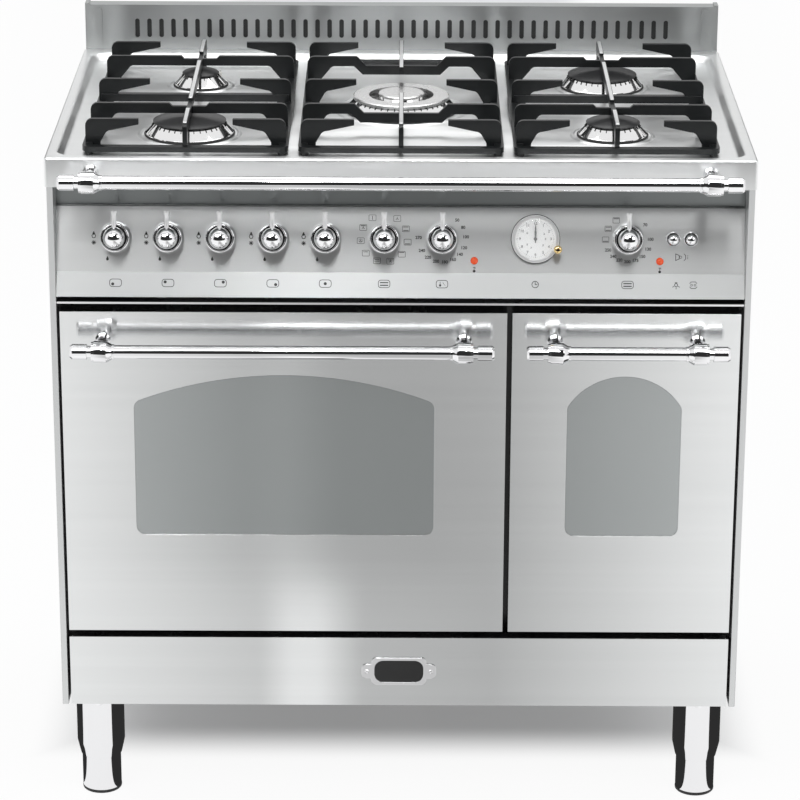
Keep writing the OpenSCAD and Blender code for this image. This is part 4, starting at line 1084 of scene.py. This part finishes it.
# %% Print the dial
dial_r = 0.0262
dial_out = 0.00055
numeral_out = 0.00068
track_r = 0.0232
dial = [(dial_r, 0.0), (dial_r, 0.00012), (0.0018, 0.00012), (0.0018, 0.0)]
link_piece("dial_disc", lathe("dial_disc", dial, 72, on_panel(clock_x, 0, dial_out), True), DIAL_WHITE)
inner_marks = (("2", 60), ("3", 90), ("5", 130), ("7", 205), ("9", 235), ("0", 305))
numerals = [figure_mesh(str(hour), around(clock_x, 30 * hour, 0.0198, numeral_out), 0.0034)
            for hour in range(1, 13)]
numerals += [figure_mesh(text, around(clock_x, degrees, 0.0128, numeral_out), 0.0026)
             for text, degrees in inner_marks]
join_piece("dial_numerals", numerals, DIAL_GREY)
for name, count, size, up in (("dial_track", 60, (0.0012, 0.0003, 0.0001), 0.00016),
                              ("dial_hours", 12, (0.002, 0.0007, 0.0001), 0.00018)):
    circle_of(name, count, track_r, size, 0.0, on_panel(clock_x, 0, dial_out + up), DIAL_GREY)
print("numerals:", len(numerals))

# %% [markdown]
# ## Cups, knobs and feet
# Each knob stands in a cup whose inside is dark, so a black ring shows round the
# ball. A satin lever points up from each ball. The clock has a dark outline and a
# brass setting knob, and each foot stands on its rubber pad.

# %% Line the cups
cup = mm([(4.9, 0), (20.5, 0), (20.5, 1.4), (20.2, 2.6), (18.9, 14.8), (18.5, 16.1), (17.6, 16.8),
          (16.8, 17), (16.1, 16.8), (15.8, 16.2), (15.8, 2.1), (4.9, 2.1)])
button_ring = mm([(7.4, 0), (9.9, 0), (9.6, 1.4), (8.8, 3.2), (8.2, 3.8), (7.8, 3.8), (7.4, 3.4)])
lining = mm([(5.2, 2.2), (15.7, 2.2), (15.7, 15.8), (15.3, 15.8), (15.3, 2.6), (5.2, 2.6)])
cups = [lathe("cup", cup, 64, on_panel(x), True) for x in knob_x]
cups += [lathe("ring", button_ring, 48, on_panel(x), True) for x in button_x]
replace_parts(join_piece("bezels_turned", cups, CHROME), "bezels")
linings = [lathe("lining", lining, 48, on_panel(x), True) for x in knob_x]
join_piece("cup_linings", linings, BLACK_ENAMEL)
print("linings:", len(linings))

# %% Turn the knobs
ball_out = 0.027
ball_r = 0.014
ball = mm([(4, -22), (4, 3.1), (9.7, 3.1), (10.1, 3.7), (10.1, 17.3)])
ball += rounded(0.0, ball_out, ball_r, -42, 88, 26)
lever = mm([(3.4, 11.8), (2.9, 13.5), (2.9, 30.2), (3.3, 30.7), (3.6, 31.4), (3.6, 32.8), (3.6, 34)])
upward = Matrix.Rotation(-math.pi / 2, 4, "X")
for i, x in enumerate(knob_x):
    knob = "knob_%d" % (i + 1)
    turned = link_piece(knob + "_ball", lathe("ball", ball, 64, on_panel(x)), CHROME, body_of[knob])
    arm = lathe("lever", lever, 40, on_panel(x, 0, ball_out) @ upward)
    link_piece(knob + "_lever", arm, NICKEL, body_of[knob])
    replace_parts(turned, knob)

# %% Turn the clock's ring and knob, and the pads
outline = mm([(30.6, 0.2), (31.4, 0.2), (31.4, 2), (30.8, 2.6), (30.4, 2.6)])
link_piece("clock_outline", lathe("outline", outline, 96, on_panel(clock_x), True), BLACK_ENAMEL)
setting = mm([(1.5, 0.3), (1.5, 4.3), (3.4, 4.3), (3.6, 4.8), (3.6, 10.4), (4.2, 10.9), (5.2, 11.7),
              (5.4, 12.8), (5.4, 15.8), (5, 17.6), (3.8, 18.9), (1.8, 19.5)])
spot = on_panel(clock_x) @ Matrix.Rotation(math.radians(-25), 4, "Z") @ moved(0.031, 0)
setting_mesh = lathe("setting", setting, 48, spot)
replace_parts(link_piece("clock_knob_turned", setting_mesh, BRASS, body_of["clock_knob"]), "clock_knob")
pad = mm([(25.2, 0), (26.2, 1.2), (26.4, 3), (26.2, 4.6), (25.2, 5.2), (20, 5.2), (20, 0)])
for i in range(4):
    low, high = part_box("foot_%d" % (i + 1))
    centre = moved((low.x + high.x) / 2, (low.y + high.y) / 2)
    link_piece("pad_%d" % (i + 1), lathe("pad", pad, 64, centre, True), RUBBER, "foot_%d" % (i + 1))

# %% [markdown]
# ## The blank plate
# The plate on the lower panel has a dark enamelled field, which stays blank, and
# a screw in each ear. The screws are one small tree: a domed head at each point.

# %% Fill the plate
def upright_plate(name, half_x, low, high, radius, layers, finish, steps=4):
    """A flat plate with round corners that faces the front. Each layer has a depth and an inset."""
    shape = bmesh.new()
    rings = []
    for y, inset in layers:
        ring = rect_ring(inset - half_x, half_x - inset, low + inset, high - inset, radius - inset, 0, steps)
        rings.append([Vector((p.x, y, p.y)) for p in ring])
    cap_ends(shape, join_rings(shape, rings))
    bmesh.ops.recalc_face_normals(shape, faces=shape.faces)
    return link_piece(name, mesh_from(shape, name), finish)


plate_low, plate_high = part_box("blank_plate")
plate_z = (plate_low.z + plate_high.z) / 2
field_layers = [(edge_y - 0.0012, 0.0), (edge_y - 0.0016, 0.0), (edge_y - 0.0018, 0.0004)]
upright_plate("plate_field", 0.0322, plate_z - 0.0152, plate_z + 0.0152, 0.0116, field_layers,
              BLACK_ENAMEL, 8)

# %% Drive the screws
FACING = (math.pi / 2, 0, 0)


def screw_tree():
    """A domed head at every point of the seed mesh."""
    tree, start, end = new_tree("screws", [("Radius", "Float", 0.003), ("Turn", "Vector", (0.0, 0.0, 0.0))])
    sphere = {"Segments": 20, "Rings": 10, "Radius": start["Radius"]}
    ball = add_node(tree, "GeometryNodeMeshUVSphere", sphere).outputs["Mesh"]
    head = add_node(tree, "GeometryNodeTransform", {"Geometry": ball, "Scale": (1, 1, 0.45)})
    spread = add_node(tree, "GeometryNodeInstanceOnPoints", {
        "Points": start["Geometry"], "Instance": head.outputs["Geometry"], "Rotation": start["Turn"]})
    return end_tree(tree, spread.outputs["Instances"], start, end)


SCREWS = screw_tree()
ears = [(s * 0.0425, edge_y - 0.0021, plate_z) for s in (-1, 1)]
grow("plate_screws", SCREWS, {"Radius": 0.0028, "Turn": FACING}, CHROME, points=ears)
back_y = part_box("back_panel")[1].y + 0.0003
back_spots = [(x, back_y, z) for x in (-0.42, -0.21, 0.0, 0.21, 0.42) for z in (0.17, 0.84)]
back_spots += [(x, back_y, z) for x in (-0.42, 0.42) for z in (0.38, 0.6)]
grow("back_screws", SCREWS, {"Radius": 0.0042, "Turn": FACING}, WIRE, points=back_spots)
print("screws:", len(ears) + len(back_spots))

# %% [markdown]
# ## The trim and the slots
# A bright strip runs over the doors. Behind the backguard's slots a black plate
# is painted shade for the dark inside them. Both are flat plates with round corners.

# %% Cut the flat plates
for name, half_x, low, high, front, deep, radius, finish in (
        ("door_trim", 0.4395, 0.7062, 0.7088, edge_y + 0.0046, 0.0003, 0.0005, SATIN_CHROME),
        # The plate behind the slots is painted shade: a black sheet where their inside is only in shade.
        ("slot_liner", 0.42, 0.908, 0.954, edge_y + 0.5812, 0.0005, 0.001, PLASTIC)):
    upright_plate(name, half_x, low, high, radius, [(front + deep, 0.0), (front, 0.0)], finish)

# %% [markdown]
# ## Inside the ovens
# Behind each door a black gasket runs round the mouth, and a heating element
# hangs under the roof.

# %% Bend the gaskets and elements
TUBE_MERGE = 1e-6
TUBE_CREASE = 50


def bent_tube(name, path, radius, finish, cyclic=False):
    """A tube along a path, from a bevelled curve made into a mesh."""
    curve = bpy.data.curves.new(name, "CURVE")
    adjust(curve, dimensions="3D", bevel_depth=radius, bevel_resolution=3, use_fill_caps=True)
    spline = curve.splines.new("POLY")
    spline.points.add(len(path) - 1)
    for point, place in zip(spline.points, path):
        point.co = (*place, 1)
    spline.use_cyclic_u = cyclic
    mesh = baked(hosted(name, curve), name)
    bpy.data.curves.remove(curve)
    shape = shape_of(mesh)
    bmesh.ops.remove_doubles(shape, verts=shape.verts, dist=TUBE_MERGE)
    bmesh.ops.recalc_face_normals(shape, faces=shape.faces)
    shape.to_mesh(mesh)
    shape.free()
    shade_by_angle(mesh, TUBE_CREASE)
    return link_piece(name, mesh, finish)


gasket_out = 0.007
gasket_y = edge_y + 0.0378
mouth_corner = 0.014
element_in, element_front, element_rear, element_down = 0.03, 0.06, 0.07, 0.016
tubes = []
for side, runs in (("left", 6), ("right", 4)):
    low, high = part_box("oven_" + side)
    sides = (low.x - gasket_out, high.x + gasket_out, low.z - gasket_out, high.z + gasket_out)
    mouth = [(p.x, gasket_y, p.y) for p in rect_ring(*sides, mouth_corner, 0.0)]
    tubes.append(bent_tube("gasket_" + side, mouth, 0.0014, RUBBER, True))
    x0, x1 = low.x + element_in, high.x - element_in
    ends = (high.y - element_rear, low.y + element_front)
    roof = high.z - element_down
    path = [(x0, high.y - 0.002, roof)]
    for k in range(runs):
        x = x0 + (x1 - x0) * k / (runs - 1)
        path += [(x, ends[k % 2], roof), (x, ends[(k + 1) % 2], roof)]
    path.append((x1, high.y - 0.002, roof))
    tubes.append(bent_tube("element_" + side, path, 0.0032, ELEMENT))
print("gaskets and elements:", len(tubes))

# %% [markdown]
# ## The studio
# A pale floor, a pale world and a few large soft lamps. Polished metal only
# looks like metal when it has something to mirror, so dark and grey cards that
# the camera can't see stand round the set, as a product photographer has them.

# %% Light the set
def add_lamp(name, place, target, size, power):
    """A large soft lamp that looks at a point."""
    data = bpy.data.lights.new(name, "AREA")
    lamp = hosted(name, adjust(data, shape="RECTANGLE", size=size[0], size_y=size[1], energy=power))
    aim = (Vector(target) - Vector(place)).to_track_quat("-Z", "Y")
    lamp.matrix_world = Matrix.Translation(place) @ aim.to_matrix().to_4x4()
    lamp.visible_camera = False


add_lamp("key", (-1.6, -2.6, 3.2), (0, 0, 0.6), (2.2, 1.6), 42)
add_lamp("fill", (2.4, -2.2, 2.4), (0, 0, 0.6), (1.6, 1.6), 16)
add_lamp("top", (0, 0.8, 3.4), (0, 0, 0.8), (2.4, 1.4), 22)

# %% Make the world
def rays(tree):
    """Two sockets: rays that look at a thing, straight or by a mirror, and mirror rays alone."""
    path = tree.nodes.new("ShaderNodeLightPath").outputs
    mirrored = add_math(tree, "MAXIMUM", path["Is Glossy Ray"], path["Is Transmission Ray"])
    return add_math(tree, "MAXIMUM", path["Is Camera Ray"], mirrored), path["Is Glossy Ray"]


def mix_shaders(tree, factor, first, second, end):
    """Mixes two shaders into an output node."""
    values = {0: factor, 1: first.outputs[0], 2: second.outputs[0]}
    mix = add_node(tree, "ShaderNodeMixShader", values)
    set_inputs(tree, tree.nodes[end], {"Surface": mix.outputs[0]})


def pale_world():
    """White for the eye, a little less for mirrors, and less again as light."""
    world = bpy.data.worlds.new("studio")
    world.use_nodes = True
    tree = world.node_tree
    shown, glossy = rays(tree)
    dimmed = add_math(tree, "MULTIPLY_ADD", glossy, -0.05, 1.0)
    seen = tree.nodes["Background"]
    set_inputs(tree, seen, {"Color": (1, 1, 1, 1), "Strength": dimmed})
    light = add_node(tree, "ShaderNodeBackground", {"Color": (0.97, 0.985, 1, 1), "Strength": 0.72})
    mix_shaders(tree, shown, light, seen, "World Output")
    bpy.context.scene.world = world


pale_world()

# %% Lay the floor
def stage_sheet(name, corners, finish):
    """A flat stage piece through four corners."""
    mesh = bpy.data.meshes.new(name)
    mesh.from_pydata([Vector(c) for c in corners], [], [(0, 1, 2, 3)])
    mesh.materials.append(finish)
    made = hosted(name, mesh)
    return made


def between(x0, x1, near, far):
    """The corners between two level edges. Each edge has its Y and its height."""
    return (x0, *near), (x1, *near), (x1, *far), (x0, *far)


def pale_floor():
    """White for the eye, with the shadow left in, and a pale matt floor as light."""
    finish, tree, shader = new_finish("floor", (0.9, 0.9, 0.9), 0.0, 0.6)
    set_inputs(tree, shader, {"Specular IOR Level": 0.1})
    glow = tree.nodes.new("ShaderNodeEmission")
    place = object_xyz(tree)
    beside = add_math(tree, "SUBTRACT", add_math(tree, "ABSOLUTE", place["X"]), 0.4)
    before = add_math(tree, "MULTIPLY_ADD", place["Y"], -1.0, -0.02)
    away = add_math(tree, "MAXIMUM", beside, before)
    near = mapped(tree, away, 0.0, 0.12, 0.2, 0.93, "SMOOTHSTEP")
    far = mapped(tree, away, 0.3, 1.2, 0.0, 0.07, "SMOOTHSTEP")
    white = add_math(tree, "MULTIPLY", rays(tree)[0], add_math(tree, "ADD", near, far))
    mix_shaders(tree, white, shader, glow, "Material Output")
    stage_sheet("floor", between(-12, 12, (-12, 0), (12, 0)), finish)


pale_floor()

# %% [markdown]
# ### Cards for the mirrors
# Only mirrors see the cards. The front of the cooker mirrors the floor before it,
# so a grey card lies there, darkest a little right of the middle, with a smaller
# one for the lower panel. A black card behind the camera, from the floor up, draws
# the dark line along every chrome bar. Above it hangs a softbox with one narrow
# bright stripe, which the leaning panel mirrors. Dark wedges beside the legs and
# dark cards behind the cooker give the legs, cones and collars their contrast.

# %% Make the cards
RAMP_SCALE = 4.0


def mirror_card(name, corners, finish):
    """A card that only mirrors see."""
    adjust(stage_sheet(name, corners, finish), visible_camera=False, visible_diffuse=False,
           visible_shadow=False, visible_transmission=False)


def card_finish(name, stops, gain=1.0):
    """A card whose brightness changes sideways, as the front's mirror image sees it."""
    made = bpy.data.materials.new(name)
    made.use_nodes = True
    tree = made.node_tree
    tree.nodes.remove(tree.nodes["Principled BSDF"])
    place = object_xyz(tree)
    reach = add_math(tree, "SUBTRACT", 2 * edge_y + camera_distance, place["Y"])
    across = add_math(tree, "DIVIDE", place["X"], reach)
    factor = add_math(tree, "MULTIPLY_ADD", across, RAMP_SCALE, 0.5)
    ramp = add_node(tree, "ShaderNodeValToRGB", {"Fac": factor})
    while len(ramp.color_ramp.elements) < len(stops):
        ramp.color_ramp.elements.new(0.5)
    for element, (slope, value) in zip(ramp.color_ramp.elements, stops):
        element.position = 0.5 + RAMP_SCALE * slope
        element.color = (value, value, value, 1)
    glow = add_node(tree, "ShaderNodeEmission", {"Color": ramp.outputs["Color"], "Strength": gain})
    set_inputs(tree, tree.nodes["Material Output"], {"Surface": glow.outputs[0]})
    return made


FRONT_CARD = card_finish("front_card", [(-0.107, 0.96), (-0.05, 0.57), (-0.036, 0.6), (-0.02, 0.47),
                                        (0.01, 0.46), (0.03, 0.49), (0.107, 1.0)], 1.1)
DARK_ROOM = card_finish("dark_room", [(-0.1, 0.03), (0.1, 0.03)])
SOFTBOX = card_finish("softbox", [(-0.12, 0.06), (-0.053, 0.05), (-0.046, 1.0), (-0.035, 1.0), (-0.03, 0.15),
                                  (0.0, 0.14), (0.05, 0.15), (0.12, 0.23)], 54.0)
KICK_CARD = card_finish("kick_card", [(-0.107, 1.0), (-0.06, 0.78), (-0.045, 0.72), (-0.035, 0.98),
                                      (-0.026, 0.98), (-0.012, 0.6), (0.03, 0.54), (0.107, 1.0)], 1.08)

# %% Set the cards
card_z = 0.004
room_y = -5.0
room_top = 5.6
behind_y = 2.6
low_edge, high_edge = (room_y, room_top), (-3.0, 6.5)
cards = [("card_floor", -2.4, 2.4, (-3.3, card_z), (-0.5, card_z), FRONT_CARD),
         ("card_softbox", -1.3, 1.3, low_edge, high_edge, SOFTBOX),
         ("card_high_left", -6.0, -1.3, low_edge, high_edge, DARK_ROOM),
         ("card_high_right", 1.3, 6.0, low_edge, high_edge, DARK_ROOM),
         ("card_kick", -1.6, 1.6, (-1.02, 0.006), (-0.5, 0.006), KICK_CARD),
         ("card_room", -9.0, 9.0, (room_y, 0.0), (room_y, room_top), DARK_ROOM),
         ("card_back_high", -2.6, 2.6, (behind_y, 2.3), (behind_y, 3.4), DARK_ROOM)]
for side, at in ((-1, 1.2), (-1, 2.0), (1, 1.2), (1, 2.0)):
    x0, x1 = sorted((side * at, side * (at + 0.5)))
    name = "card_back_%d_%d" % (side + 1, at)
    cards.append((name, x0, x1, (behind_y, 0.4), (behind_y, 1.95), DARK_ROOM))
for name, x0, x1, near, far, finish in cards:
    mirror_card(name, between(x0, x1, near, far), finish)

# %% Set the wedges beside the legs
def wedge_card(name, x, y, side, degrees, reach):
    """A dark card on the floor, from a bearing off the front to the back."""
    a = math.radians(degrees)
    corners = [(x, y), (x + side * reach * math.sin(a), y - reach * math.cos(a)),
               (x + side * reach, y + reach), (x, y + reach)]
    mirror_card(name, [(*corner, card_z) for corner in corners], DARK_ROOM)


leg_x, leg_y = 0.403, edge_y + 0.056
for way, outer in ((-1, 88), (1, 57)):
    wedge_card("card_leg_outer_%d" % (way + 1), way * leg_x, leg_y, way, outer, 0.6)
    wedge_card("card_leg_inner_%d" % (way + 1), way * leg_x, leg_y, -way, 57, 0.38)
